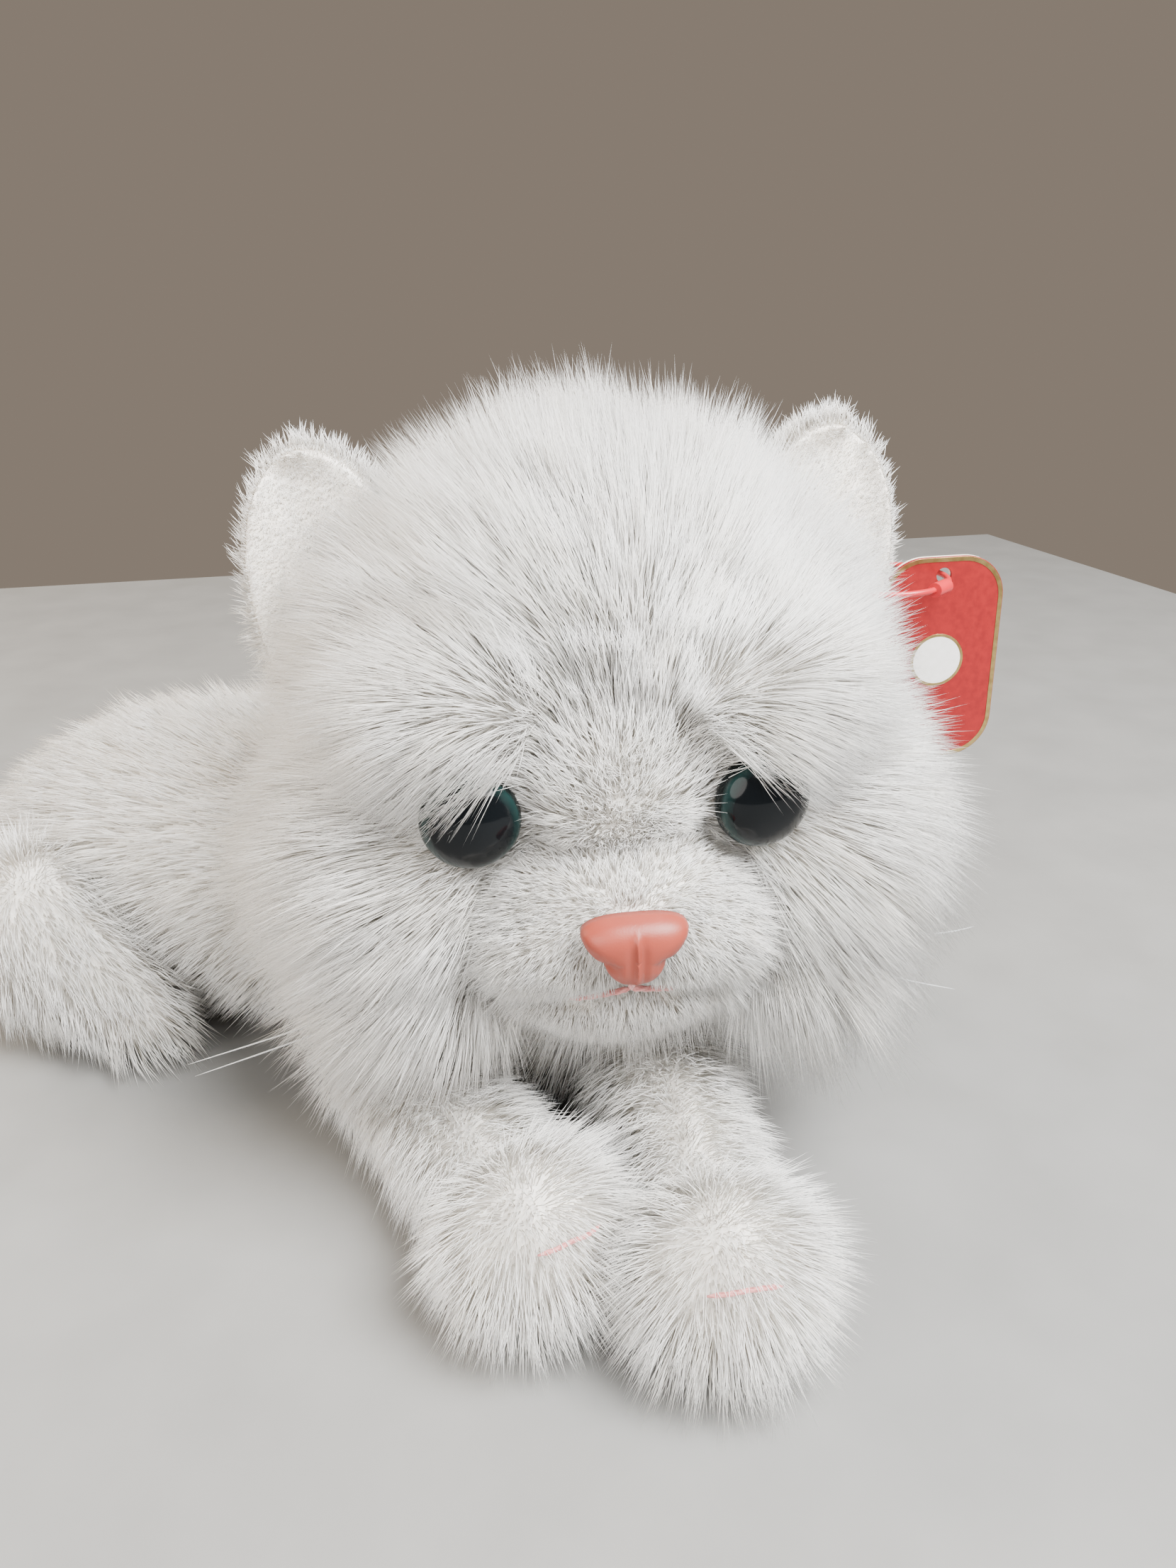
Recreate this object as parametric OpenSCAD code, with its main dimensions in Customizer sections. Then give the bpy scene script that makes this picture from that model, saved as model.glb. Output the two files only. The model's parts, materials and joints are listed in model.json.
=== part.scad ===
// Plush cat lying with its head and front paws turned to its right side.
// Frame: millimetres, +Z up, the origin on the belly where it rests, and the face towards -Y.
// Soft pieces are drawn to the middle of their pile, because a pile has no hard surface.

/* [Torso] */
// Length of the torso along its spine, from rump to chest
torso_len = 190; // [150:1:240]
// Widest part of the torso
torso_w = 84; // [64:1:104]
// Height of the back above the floor
torso_h = 82; // [66:1:100]
// How far the torso lies away from the line of the face, in degrees
torso_turn = 55; // [40:1:65]

/* [Head] */
// Width of the head across the cheeks
head_w = 134; // [104:1:168]
// Height of the head from chin to crown
head_h = 122; // [100:1:148]
// Depth of the head from brow to nape
head_d = 98; // [78:1:124]
// Turn of the face to the cat's right, in degrees
head_turn = 8; // [0:1:14]
// Lean of the head towards the cat's right shoulder, in degrees
head_lean = 2; // [0:1:5]
// Width of the muzzle
muzzle_w = 48; // [38:1:60]

/* [Ears] */
// Width of an ear at its base
ear_w = 38; // [31:1:46]
// Height of an ear from its base to its tip
ear_h = 31; // [25:1:38]
// Thickness of one ear layer
ear_layer = 3; // [2:0.5:4]

/* [Eyes and nose] */
// Diameter of an eye
eye_d = 18; // [14:0.5:22]
// Distance between the eye centres
eye_spacing = 52; // [44:1:64]
// Height of the clear dome over an eye's back plate
eye_dome = 5; // [3:0.5:7]
// Diameter of the posts that hold the eyes and the nose
post_d = 4.8; // [3.5:0.1:6.5]
// Width of the nose
nose_w = 18; // [14:0.5:22]
// Height of the nose
nose_h = 12.5; // [10:0.5:16]

/* [Legs and tail] */
// Diameter of a front leg
leg_d = 34; // [28:1:41]
// Length of a front leg from its shoulder to the middle of its paw
leg_len = 64; // [52:1:84]
// Diameter of a haunch
haunch_d = 54; // [44:1:66]
// Diameter of a hind foot
foot_d = 26; // [20:1:32]
// Diameter of the tail
tail_d = 24; // [18:1:30]
// Length of the tail beyond its root
tail_len = 112; // [88:1:140]

/* [Seams and cloth] */
// Thickness of the plush cloth to the middle of its pile
cloth = 7; // [5:0.5:9]
// Diameter of the stuffed ball that joins the head to the torso
neck_d = 44; // [36:1:54]
// Space between pieces that move past each other
gap = 0.8; // [0.6:0.1:1.2]
// Diameter of the stitching thread
thread_d = 1.4; // [1:0.1:2]
// Diameter of a whisker
whisker_d = 0.7; // [0.5:0.1:1.2]
// Length of a whisker outside the muzzle
whisker_len = 78; // [62:1:96]

/* [Hang tag] */
// Width of the tag
tag_w = 28; // [23:1:34]
// Height of the tag
tag_h = 47; // [40:1:57]
// Thickness of one leaf of the tag
tag_leaf = 0.7; // [0.5:0.1:1]
// Diameter of the hole for the fastener
tag_hole = 3.6; // [3:0.1:4.5]
// Diameter of the fastener's plastic string
string_d = 1.3; // [1:0.1:1.6]

/* [Hidden] */
$fn = 32;

left = 1;
right = -1;
touch = 0.02;          // faces that only meet are kept this far apart
seam = 0.1;            // space between two sewn pieces
fit = 0.3;             // space round a hard piece in its cloth
far = 400;             // longer than the whole cat
flat_cut = 2;          // how much a resting piece is flattened by the floor
torso_sides = 16;
limb_sides = 14;
sweep_sides = 16;

pile_white = [0.97, 0.96, 0.93];
nap_white = [0.98, 0.97, 0.95];
fibre_white = [0.93, 0.93, 0.92];

// Joint limits, in degrees, which the torso's hollows leave room for
neck_turns = [-20, 0, 20];
nods = [-15, 3];
leg_swings = [0, 40];
hind_swings = [0, 15, 30];
tail_swings = [-15, 35];
ear_fold = 30;

// ---- Places ----

leg_r = leg_d / 2;
haunch_r = haunch_d / 2;
foot_r = foot_d / 2;
tail_r = tail_d / 2;
neck_r = neck_d / 2;
torso_half = torso_w / 2;
torso_mid_z = torso_h / 2 - flat_cut / 2;
torso_half_h = torso_h / 2 + flat_cut / 2;

// A place t millimetres along the straight part of the spine, and beside it to the cat's left
function on_spine(t, beside = 0) = [
    sin(torso_turn) * t + cos(torso_turn) * beside,
    -cos(torso_turn) * t + sin(torso_turn) * beside
];
function along(share) = share * torso_len;

// The chest turns from the spine towards the face
chest = on_spine(along(0.26)) + [0.02 * torso_len, -0.1 * torso_len];
chest_r = 0.3 * torso_h;
// A station of the torso: its share along the spine, then how far it is lowered, how wide it is and how much
// flatter it is, as shares of the torso's height and width
function torso_station(share, lowered, width, flatter) = concat(
    on_spine(along(share)),
    [torso_mid_z - lowered * torso_h, width * torso_half, torso_half_h - flatter * torso_h]
);
torso_stations = [
    torso_station(-0.44, 0.08, 0.74, 0.12),
    torso_station(-0.31, 0.02, 0.96, 0.03),
    torso_station(-0.13, 0, 1, 0),
    torso_station(0.05, 0, 0.98, 0),
    torso_station(0.19, 0.07, 0.95, 0.07),
    concat(chest, [chest_r - flat_cut, 0.8 * torso_half, chest_r])
];

// The head stands over the paws, with its chin just clear of them
head_place = [chest.x + 0.02 * head_w, chest.y - 0.12 * head_d, leg_d + 1 + 0.45 * head_h];
neck_behind = 0.35 * head_d;
neck_below = 0.2 * head_h;
neck_place = head_place + [sin(head_turn) * neck_behind, cos(head_turn) * neck_behind, -neck_below];

shoulder_z = leg_r - flat_cut / 2;
shoulder_right = on_spine(along(0.16), -0.95 * torso_half);
leg_right_turn = 17;
paw_right = shoulder_right + leg_len * [sin(leg_right_turn), -cos(leg_right_turn)];
leg_left_turn = -7;
paws_apart = leg_d + 2 * gap;
paw_left = paw_right + [paws_apart * cos(29), -paws_apart * sin(29)];
shoulder_left = paw_left - leg_len * [sin(leg_left_turn), -cos(leg_left_turn)];

hip_z = haunch_r - flat_cut / 2;
hip_t = along(-0.36);
hip_beside = 0.84 * torso_half;
foot_t = along(-0.2);
foot_beside = 0.7 * torso_half + foot_r + gap;

tail_root = on_spine(along(-0.56));
tail_z = tail_r - flat_cut / 2;

// ---- Smooth shapes ----

function unit(v) = v / norm(v);
function place(s) = [s[0], s[1], s[2]];
function curve(p0, p1, p2, p3, t) = 0.5 * (2 * p1 + (p2 - p0) * t
    + (2 * p0 - 5 * p1 + 4 * p2 - p3) * t * t + (3 * p1 - p0 - 3 * p2 + p3) * t * t * t);
function smooth(list, steps) = [
    for (i = [0 : len(list) - 2]) for (k = [0 : steps - 1])
        curve(list[max(i - 1, 0)], list[i], list[i + 1], list[min(i + 2, len(list) - 1)], k / steps),
    list[len(list) - 1]
];
function heading(line, i) = unit(place(line[min(i + 1, len(line) - 1)]) - place(line[max(i - 1, 0)]));
function ring(centre, ahead, half_w, half_h, sides) =
    let (side = unit(cross([0, 0, 1], ahead)), up = cross(ahead, side))
    [for (k = [0 : sides - 1]) let (a = 360 * (k + 0.5) / sides)
        centre + side * half_w * cos(a) + up * half_h * sin(a)];

// Rings along a line of stations [x, y, z, half width, half height], with a round cap at each end
function tube_rings(line, sides, caps) =
    let (
        last = len(line) - 1,
        deep_0 = min(line[0][3], line[0][4]),
        deep_1 = min(line[last][3], line[last][4])
    )
    concat(
        [for (j = [1 : caps]) let (e = 90 * j / (caps + 1), s = line[0], h = heading(line, 0))
            ring(place(s) - h * deep_0 * cos(e), h, s[3] * sin(e), s[4] * sin(e), sides)],
        [for (i = [0 : last]) ring(place(line[i]), heading(line, i), line[i][3], line[i][4], sides)],
        [for (j = [caps : -1 : 1]) let (e = 90 * j / (caps + 1), s = line[last], h = heading(line, last))
            ring(place(s) + h * deep_1 * cos(e), h, s[3] * sin(e), s[4] * sin(e), sides)]
    );

// A closed solid over rings that all have the same number of points, from the point first to the point last
module over_rings(first, rings, last) {
    sides = len(rings[0]);
    n = len(rings);
    points = concat([first], [for (r = rings) each r], [last]);
    end = len(points) - 1;
    faces = concat(
        [for (k = [0 : sides - 1]) [0, 1 + k, 1 + (k + 1) % sides]],
        [for (i = [0 : n - 2]) for (k = [0 : sides - 1])
            let (a = 1 + i * sides + k, b = 1 + i * sides + (k + 1) % sides)
                each [[a, a + sides, b], [b, a + sides, b + sides]]],
        [for (k = [0 : sides - 1]) [end, 1 + (n - 1) * sides + (k + 1) % sides, 1 + (n - 1) * sides + k]]
    );
    polyhedron(points, faces, convexity = 8);
}

// A stuffed tube along its stations. grow makes it fatter all over, or slimmer if it is negative.
module stuffed(stations, grow = 0, sides = limb_sides, steps = 2, caps = 3) {
    grown = [for (s = stations) [s[0], s[1], s[2], s[3] + grow, s[4] + grow]];
    line = smooth(grown, steps);
    last = len(line) - 1;
    over_rings(
        place(line[0]) - heading(line, 0) * min(line[0][3], line[0][4]),
        tube_rings(line, sides, caps),
        place(line[last]) + heading(line, last) * min(line[last][3], line[last][4])
    );
}

// Takes its children as one mesh
module as_mesh() {
    resize([0, 0, 0]) children();
}

module above_floor() {
    intersection() {
        children();
        translate([-far, -far, 0]) cube(2 * far);
    }
}

// A hollow cover of cloth round a stuffed tube
module cover(stations, sides = limb_sides, steps = 2) {
    above_floor() difference() {
        stuffed(stations, sides = sides, steps = steps);
        stuffed(stations, grow = -cloth, sides = sides, steps = steps);
    }
}

module core(stations, sides = limb_sides, steps = 2) {
    stuffed(stations, grow = -cloth - seam, sides = sides, steps = steps);
}

// ---- Limbs ----

front_leg_left_stations = [
    concat(shoulder_left, [shoulder_z, leg_r, leg_r]),
    concat((shoulder_left + paw_left) / 2, [shoulder_z, 0.96 * leg_r, 0.96 * leg_r]),
    concat(paw_left, [shoulder_z, leg_r, leg_r])
];
front_leg_right_stations = [
    concat(shoulder_right, [shoulder_z, leg_r, leg_r]),
    concat((shoulder_right + paw_right) / 2, [shoulder_z, 0.96 * leg_r, 0.96 * leg_r]),
    concat(paw_right, [shoulder_z, leg_r, leg_r])
];
function hind_leg_stations(side) =
    let (hip = on_spine(hip_t, side * hip_beside), toe = on_spine(foot_t, side * foot_beside))
    [
        concat(hip, [hip_z, haunch_r, haunch_r]),
        concat(0.45 * hip + 0.55 * toe, [0.75 * hip_z, 0.72 * haunch_r, 0.75 * haunch_r]),
        concat(toe, [foot_r - flat_cut / 2, foot_r, foot_r])
    ];
tail_curl = 130;
tail_curl_r = tail_len / tail_curl * 180 / PI;
tail_stations = [
    for (i = [0 : 5]) let (
        bend = tail_curl * i / 5,
        out = tail_curl_r * (1 - cos(bend)),
        back = tail_curl_r * sin(bend)
    ) concat(tail_root - on_spine(back) + on_spine(0, out), [tail_z, tail_r, tail_r])
];

module swung(hinge, angles) {
    for (angle = angles)
        translate([hinge.x, hinge.y, 0]) rotate([0, 0, angle])
            translate([-hinge.x, -hinge.y, 0]) children();
}

// Room in the torso for everything that moves against it
module torso_hollows() {
    translate(neck_place) sphere(neck_r + gap, $fn = 24);
    head_sweep();
    hull() swung(shoulder_right, -leg_swings) stuffed(front_leg_right_stations, grow = gap);
    hull() swung(shoulder_left, leg_swings) stuffed(front_leg_left_stations, grow = gap);
    hull() swung(on_spine(hip_t, -hip_beside), -hind_swings) stuffed(hind_leg_stations(right), grow = 2 * gap);
    hull() swung(on_spine(hip_t, hip_beside), hind_swings) stuffed(hind_leg_stations(left), grow = 2 * gap);
    hull() swung(tail_root, tail_swings) stuffed([tail_stations[0], tail_stations[1]], grow = gap);
}

// ---- Torso ----

module torso_cover() {
    difference() {
        cover(torso_stations, sides = torso_sides, steps = 2);
        torso_hollows();
    }
}

// Everything on one side of the spine's line, seen from above
module beside_spine(side) {
    tail_end = on_spine(-far);
    front = concat([on_spine(along(-0.44))], [on_spine(along(0.19))], [chest], [chest + [0, -far]]);
    outward = side * far * [cos(torso_turn), sin(torso_turn)];
    translate([0, 0, -far / 2]) linear_extrude(far)
        polygon(concat(
            [tail_end], front,
            [chest + [side * far, -far], chest + [side * far, 0] + outward, tail_end + outward]
        ));
}

belly_seam_z = 0.4 * torso_h;

module back_panel(side) {
    color(pile_white) as_mesh() intersection() {
        torso_cover();
        translate([side * touch, 0, 0]) beside_spine(side);
        translate([-far, -far, belly_seam_z + touch]) cube(2 * far);
    }
}
module back_panel_left() back_panel(left);
module back_panel_right() back_panel(right);

module belly_panel() {
    color(pile_white) as_mesh() intersection() {
        torso_cover();
        translate([-far, -far, -far]) cube([2 * far, 2 * far, far + belly_seam_z]);
    }
}

module torso_filling() {
    color(fibre_white) as_mesh() difference() {
        core(torso_stations, sides = torso_sides, steps = 2);
        torso_hollows();
    }
}

// ---- Neck ----

module neck_ball() {
    color(pile_white) translate(neck_place) sphere(neck_r);
}

// ---- Head, in its own frame: the face towards -Y and the middle of the head at the origin ----

head_half_w = head_w / 2;
face_deep = 0.47 * head_d;
nape_deep = 0.53 * head_d;

// Height, width, and depth to the front and the back, each as a share of the head's own size
head_levels = [
    [-0.41, 0.52, 0.55, 0.50],
    [-0.34, 0.78, 0.80, 0.74],
    [-0.24, 0.94, 0.95, 0.90],
    [-0.10, 1.00, 1.00, 1.00],
    [0.04, 0.97, 1.00, 1.04],
    [0.17, 0.88, 0.95, 1.00],
    [0.29, 0.74, 0.85, 0.90],
    [0.39, 0.58, 0.70, 0.75],
    [0.475, 0.40, 0.50, 0.54],
    [0.53, 0.20, 0.25, 0.28]
];
head_foot = -0.45;
head_top = 0.55;
head_sides = 24;
squareness = 0.87;

function swell(v) = sign(v) * pow(abs(v), squareness);
function head_ring(level, grow, sides) = [
    for (k = [0 : sides - 1]) let (
        a = 360 * (k + 0.5) / sides,
        deep = sin(a) < 0 ? face_deep * level[2] : nape_deep * level[3]
    ) [
        (head_half_w * level[1] + grow) * swell(cos(a)),
        (deep + grow) * swell(sin(a)),
        level[0] * (head_h + 2 * grow)
    ]
];

module skull(grow = 0, sides = head_sides) {
    over_rings(
        [0, 0, head_foot * head_h - grow],
        [for (level = head_levels) head_ring(level, grow, sides)],
        [0, 0, head_top * head_h + grow]
    );
}

muzzle_z = -0.17 * head_h;
muzzle_out = 0.13 * head_d;
muzzle_stations = [
    [0, -0.5 * face_deep, muzzle_z, muzzle_w / 2, 0.36 * muzzle_w],
    [0, -face_deep - muzzle_out + 0.3 * muzzle_w, muzzle_z, muzzle_w / 2, 0.34 * muzzle_w]
];

module head_blank(grow = 0) {
    skull(grow);
    stuffed(muzzle_stations, grow = grow, sides = head_sides, steps = 1);
}

// The head's frame in the cat's frame
module on_head() {
    translate(head_place) rotate([0, -head_lean, -head_turn]) children();
}

// All the room that the head takes up as it turns and nods, with a margin for the turns between
module head_sweep() {
    hull() for (turn = neck_turns) for (nod = nods)
        translate(neck_place) rotate([0, 0, turn - head_turn]) rotate([nod, 0, 0]) rotate([0, 0, head_turn])
            translate(-neck_place) on_head() skull(grow = 3 * gap, sides = sweep_sides);
}

module neck_hollow() {
    rotate([0, 0, head_turn]) rotate([0, head_lean, 0]) translate(neck_place - head_place)
        sphere(neck_r + gap, $fn = 24);
}

eye_z = 0.025 * head_h;
eye_y = -0.86 * face_deep;
eye_yaw = 16;
flange = 1;                      // thickness of each of an eye's back plates
washer_deep = cloth;             // how far behind an eye's back plate its washer sits
washer_thick = 1.5;

module at_eye(side) {
    translate([side * eye_spacing / 2, eye_y, eye_z]) rotate([0, 0, side * eye_yaw]) rotate([90, 0, 0])
        children();
}

nose_z = muzzle_z + 0.12 * muzzle_w;
nose_y = -face_deep - muzzle_out + 3;

module at_nose() {
    translate([0, nose_y, nose_z]) rotate([90, 0, 0]) children();
}

// Room for an eye or the nose, its post and its washer
module fixing_space(width, back) {
    translate([0, 0, -back - fit]) cylinder(h = far / 4, d = width + 2 * fit);
    post_space(back);
}
module post_space(back) {
    translate([0, 0, -back - washer_deep - washer_thick - 3]) cylinder(h = far / 8, d = post_d + 2 * touch);
    translate([0, 0, -back - washer_deep - washer_thick - fit])
        cylinder(h = washer_thick + 2 * fit, d = 3 * post_d + 2 * fit);
}

ear_slope = 38;                  // slope of the seam at the foot of an ear
ear_inward = 0.36;               // how far an ear's tip leans in, as a share of its height
ear_bead_r = ear_layer + seam / 2;
function ear_foot(side) = [side * 0.72 * head_half_w, 0.14 * head_d, 0.225 * head_h];
module at_ear(side) {
    translate(ear_foot(side)) rotate([0, side * ear_slope, 0]) children();
}

// Room for an ear's foot, and for the cupped ear as it folds back
module ear_slot(side) {
    half = ear_layer + 0.8 * gap;
    back = ear_fold + 10;
    at_ear(side) {
        rotate([0, 90, 0]) cylinder(h = ear_w + 4 * gap, r = ear_bead_r + gap, center = true, $fn = 16);
        rotate([90, 0, 90]) linear_extrude(ear_w + 12, center = true)
            polygon([[-half, -1], [-half, ear_h], [half + ear_h * tan(back), ear_h], [half, -1]]);
    }
}

module head_hollows() {
    neck_hollow();
    for (side = [left, right]) {
        at_eye(side) fixing_space(eye_d, 2 * flange);
        ear_slot(side);
    }
    at_nose() nose_space();
    mouth_space();
    loop(string_d / 2 + fit, 24, 8);
}

module head_cover() {
    difference() {
        head_blank();
        head_blank(grow = -cloth);
        head_hollows();
    }
}

crown_half = 0.36 * head_half_w;
crown_low = -0.3 * head_h;
chin_high = -0.33 * head_h;
muzzle_zone_r = 0.48 * muzzle_w;

module muzzle_zone(grow = 0) {
    translate([0, -0.8 * face_deep, muzzle_z]) rotate([90, 0, 0])
        cylinder(h = far / 4, r = muzzle_zone_r + grow);
}
module crown_zone(grow = 0) {
    translate([-crown_half - grow, -far / 2, crown_low - grow]) cube([2 * (crown_half + grow), far, far]);
}
module chin_zone(grow = 0) {
    translate([-far / 2, -far / 2, chin_high - far + grow]) cube(far);
}

module crown_panel() {
    color(pile_white) as_mesh() on_head() difference() {
        intersection() {
            head_cover();
            crown_zone();
        }
        muzzle_zone(touch);
        chin_zone(touch);
    }
}

module cheek_panel(side) {
    color(pile_white) as_mesh() on_head() difference() {
        intersection() {
            head_cover();
            translate([side > 0 ? touch : -far - touch, -far / 2, -far / 2]) cube(far);
        }
        muzzle_zone(touch);
        crown_zone(touch);
        chin_zone(touch);
    }
}
module cheek_panel_left() cheek_panel(left);
module cheek_panel_right() cheek_panel(right);

module muzzle_panel() {
    color(nap_white) as_mesh() on_head() intersection() {
        head_cover();
        muzzle_zone();
    }
}

module chin_panel() {
    color(pile_white) as_mesh() on_head() difference() {
        intersection() {
            head_cover();
            chin_zone();
        }
        muzzle_zone(touch);
    }
}

module head_filling() {
    color(fibre_white) as_mesh() on_head() difference() {
        head_blank(grow = -cloth - seam);
        head_hollows();
    }
}

// ---- Eyes ----

pupil_r = 0.34 * eye_d;

module eye_lens(side) {
    dome_r = (eye_d * eye_d / 4 + eye_dome * eye_dome) / (2 * eye_dome);
    color([0.6, 0.75, 0.75, 0.4]) on_head() at_eye(side) translate([0, 0, touch])
        rotate_extrude() intersection() {
        translate([0, eye_dome - dome_r]) circle(dome_r, $fn = 96);
        square([eye_d, eye_dome]);
    }
}
module eye_iris(side) {
    color([0.08, 0.22, 0.24]) on_head() at_eye(side) translate([0, 0, -flange]) difference() {
        cylinder(h = flange, d = eye_d);
        translate([0, 0, -flange]) cylinder(h = 3 * flange, r = pupil_r + touch);
    }
}
module eye_post(side) {
    color([0.03, 0.03, 0.03]) on_head() at_eye(side) {
        translate([0, 0, -flange - touch]) cylinder(h = flange + touch, r = pupil_r);
        translate([0, 0, -2 * flange]) cylinder(h = flange - touch, d = eye_d);
        translate([0, 0, -2 * flange - washer_deep - washer_thick - 2])
            cylinder(h = washer_deep + washer_thick + 2 + flange / 2, d = post_d);
    }
}
module washer(back) {
    translate([0, 0, -back - washer_deep - washer_thick]) difference() {
        cylinder(h = washer_thick, d = 3 * post_d);
        translate([0, 0, -washer_thick]) cylinder(h = 3 * washer_thick, d = post_d + 2 * touch);
    }
}
module eye_washer(side) {
    color([0.9, 0.9, 0.88]) on_head() at_eye(side) washer(2 * flange);
}
module eye_left_lens() eye_lens(left);
module eye_left_iris() eye_iris(left);
module eye_left_post() eye_post(left);
module eye_left_washer() eye_washer(left);
module eye_right_lens() eye_lens(right);
module eye_right_iris() eye_iris(right);
module eye_right_post() eye_post(right);
module eye_right_washer() eye_washer(right);

// ---- Nose and mouth ----

nose_round = 0.2 * nose_w;
nose_thick = 4;

module nose_outline(grow = 0) {
    offset(grow) hull() {
        for (side = [left, right])
            translate([side * (nose_w / 2 - nose_round), nose_h / 2 - nose_round]) circle(nose_round);
        translate([0, -nose_h / 2 + 0.8 * nose_round]) circle(0.8 * nose_round);
    }
}

module nose_space() {
    translate([0, 0, -1]) linear_extrude(far / 4) nose_outline(fit);
    post_space(1);
}

module nose() {
    color([0.86, 0.42, 0.34]) on_head() at_nose() {
        difference() {
            hull() {
                linear_extrude(0.45 * nose_thick) nose_outline();
                translate([0, 0, 0.75 * nose_thick]) linear_extrude(0.25 * nose_thick)
                    nose_outline(-0.12 * nose_w);
            }
            translate([0, nose_h, nose_thick]) rotate([90, 0, 0]) cylinder(h = 2 * nose_h, d = 0.8);
            for (side = [left, right]) translate([side * 0.29 * nose_w, -0.2 * nose_h, 0.5 * nose_thick])
                cylinder(h = nose_thick, d = 0.16 * nose_w);
        }
        translate([0, 0, -1 - washer_deep - washer_thick - 2])
            cylinder(h = washer_deep + washer_thick + 4, d = post_d);
    }
}
module nose_washer() {
    color([0.9, 0.9, 0.88]) on_head() at_nose() washer(1);
}

thread_r = thread_d / 2;
mouth_w = 0.34 * muzzle_w;
mouth_drop = 0.1 * muzzle_w;
mouth_z = nose_z - nose_h / 2 - mouth_drop;
mouth_y = -face_deep - muzzle_out - 0.01 * muzzle_w;

// One thread down from the nose, and one to each side along the lips
module mouth_lines(r) {
    translate([0, mouth_y, mouth_z]) cylinder(h = mouth_drop - fit, r = r, $fn = 12);
    for (side = [left, right])
        translate([0, mouth_y, mouth_z]) rotate([0, side * 102, side * 8])
            cylinder(h = mouth_w / 2, r = r, $fn = 12);
    translate([0, mouth_y, mouth_z]) sphere(r, $fn = 12);
}
module mouth_space() {
    mouth_lines(thread_r + fit);
    translate([0, -3, 0]) mouth_lines(thread_r + fit);
}
module mouth_stitch() {
    color([0.85, 0.45, 0.45]) as_mesh() on_head() mouth_lines(thread_r);
}

// ---- Whiskers ----

module whiskers(side) {
    color([0.95, 0.95, 0.95, 0.6]) on_head() for (k = [0, 1])
        translate([side * (muzzle_w / 2 + 1.5), -0.98 * face_deep + 2 * k, muzzle_z - 3 * k])
            rotate([0, side * (106 + 3 * k), side * (20 + 2 * k)]) cylinder(h = whisker_len, d = whisker_d);
}
module whiskers_left() whiskers(left);
module whiskers_right() whiskers(right);

// ---- Ears ----

ear_cup = 5;                     // how far the middle of an ear lies behind its edges
ear_columns = 8;
ear_rows = 6;

// One layer of an ear as rings from its foot to its tip
function ear_row(side, v, y_front, y_back) =
    let (
        half = ear_w / 2 * sqrt(1 - pow(v, 2.6)) * (1 - 0.1 * v),
        middle = -side * ear_inward * ear_h * v,
        spot = function(k, y) let (u = 2 * k / ear_columns - 1)
            [middle + half * u, y + ear_cup * pow(v, 2.5) * (1 - u * u), ear_h * v]
    )
    concat(
        [for (k = [0 : ear_columns]) spot(k, y_front)],
        [for (k = [ear_columns : -1 : 0]) spot(k, y_back)]
    );
module ear_sheet(side, y_front, y_back) {
    y = (y_front + y_back) / 2;
    rows = [for (i = [0 : ear_rows]) ear_row(side, 0.99 * sin(90 * i / ear_rows), y_front, y_back)];
    over_rings([0, y, -0.01], rows, [-side * ear_inward * ear_h, y + ear_cup, ear_h]);
}
module ear_bead(grow_y) {
    intersection() {
        rotate([0, 90, 0]) cylinder(h = ear_w, r = ear_bead_r, center = true, $fn = 24);
        translate([-far / 2, grow_y > 0 ? seam / 2 : -far - seam / 2, -far / 2]) cube(far);
    }
}
// Room for the tag's loop in the foot of the left ear, upright and as the ear folds back
module loop_passage(side) {
    if (side == left) for (fold = [0 : ear_fold / 3 : ear_fold])
        rotate([fold, 0, 0]) rotate([0, -side * ear_slope, 0]) translate(-ear_foot(side))
            loop(string_d / 2 + fit, 24, 8);
}
module ear_back(side) {
    color(pile_white) as_mesh() on_head() at_ear(side) difference() {
        union() {
            mirror([1, 0, 0]) ear_sheet(-side, seam / 2, ear_layer);
            ear_bead(1);
        }
        loop_passage(side);
    }
}
module ear_lining(side) {
    color(nap_white) as_mesh() on_head() at_ear(side) difference() {
        union() {
            ear_sheet(side, -ear_layer, -seam / 2);
            ear_bead(-1);
        }
        loop_passage(side);
    }
}
module ear_left_back() ear_back(left);
module ear_left_lining() ear_lining(left);
module ear_right_back() ear_back(right);
module ear_right_lining() ear_lining(right);

// ---- Front legs ----

// The upper or the lower half of a limb's cover, with the seam at the height z
module limb_panel(stations, upper, z) {
    color(pile_white) as_mesh() intersection() {
        cover(stations);
        translate([-far, -far, upper ? z + touch : z - 2 * far]) cube(2 * far);
    }
}
module limb_filling(stations) {
    color(fibre_white) as_mesh() core(stations);
}
module paw_stitch(paw, turn) {
    color([0.85, 0.45, 0.45]) as_mesh() translate([paw.x, paw.y, shoulder_z + 0.45 * leg_r])
        rotate([0, 0, turn]) translate([0, -0.94 * leg_r, 0]) rotate([0, 90, 0])
            cylinder(h = leg_r, d = thread_d, center = true, $fn = 12);
}
module front_leg_left_upper() limb_panel(front_leg_left_stations, true, shoulder_z);
module front_leg_left_sole() limb_panel(front_leg_left_stations, false, shoulder_z);
module front_leg_left_filling() limb_filling(front_leg_left_stations);
module paw_stitch_left() paw_stitch(paw_left, leg_left_turn);
module front_leg_right_upper() limb_panel(front_leg_right_stations, true, shoulder_z);
module front_leg_right_sole() limb_panel(front_leg_right_stations, false, shoulder_z);
module front_leg_right_filling() limb_filling(front_leg_right_stations);
module paw_stitch_right() paw_stitch(paw_right, leg_right_turn);

// ---- Hind legs and tail ----

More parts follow.
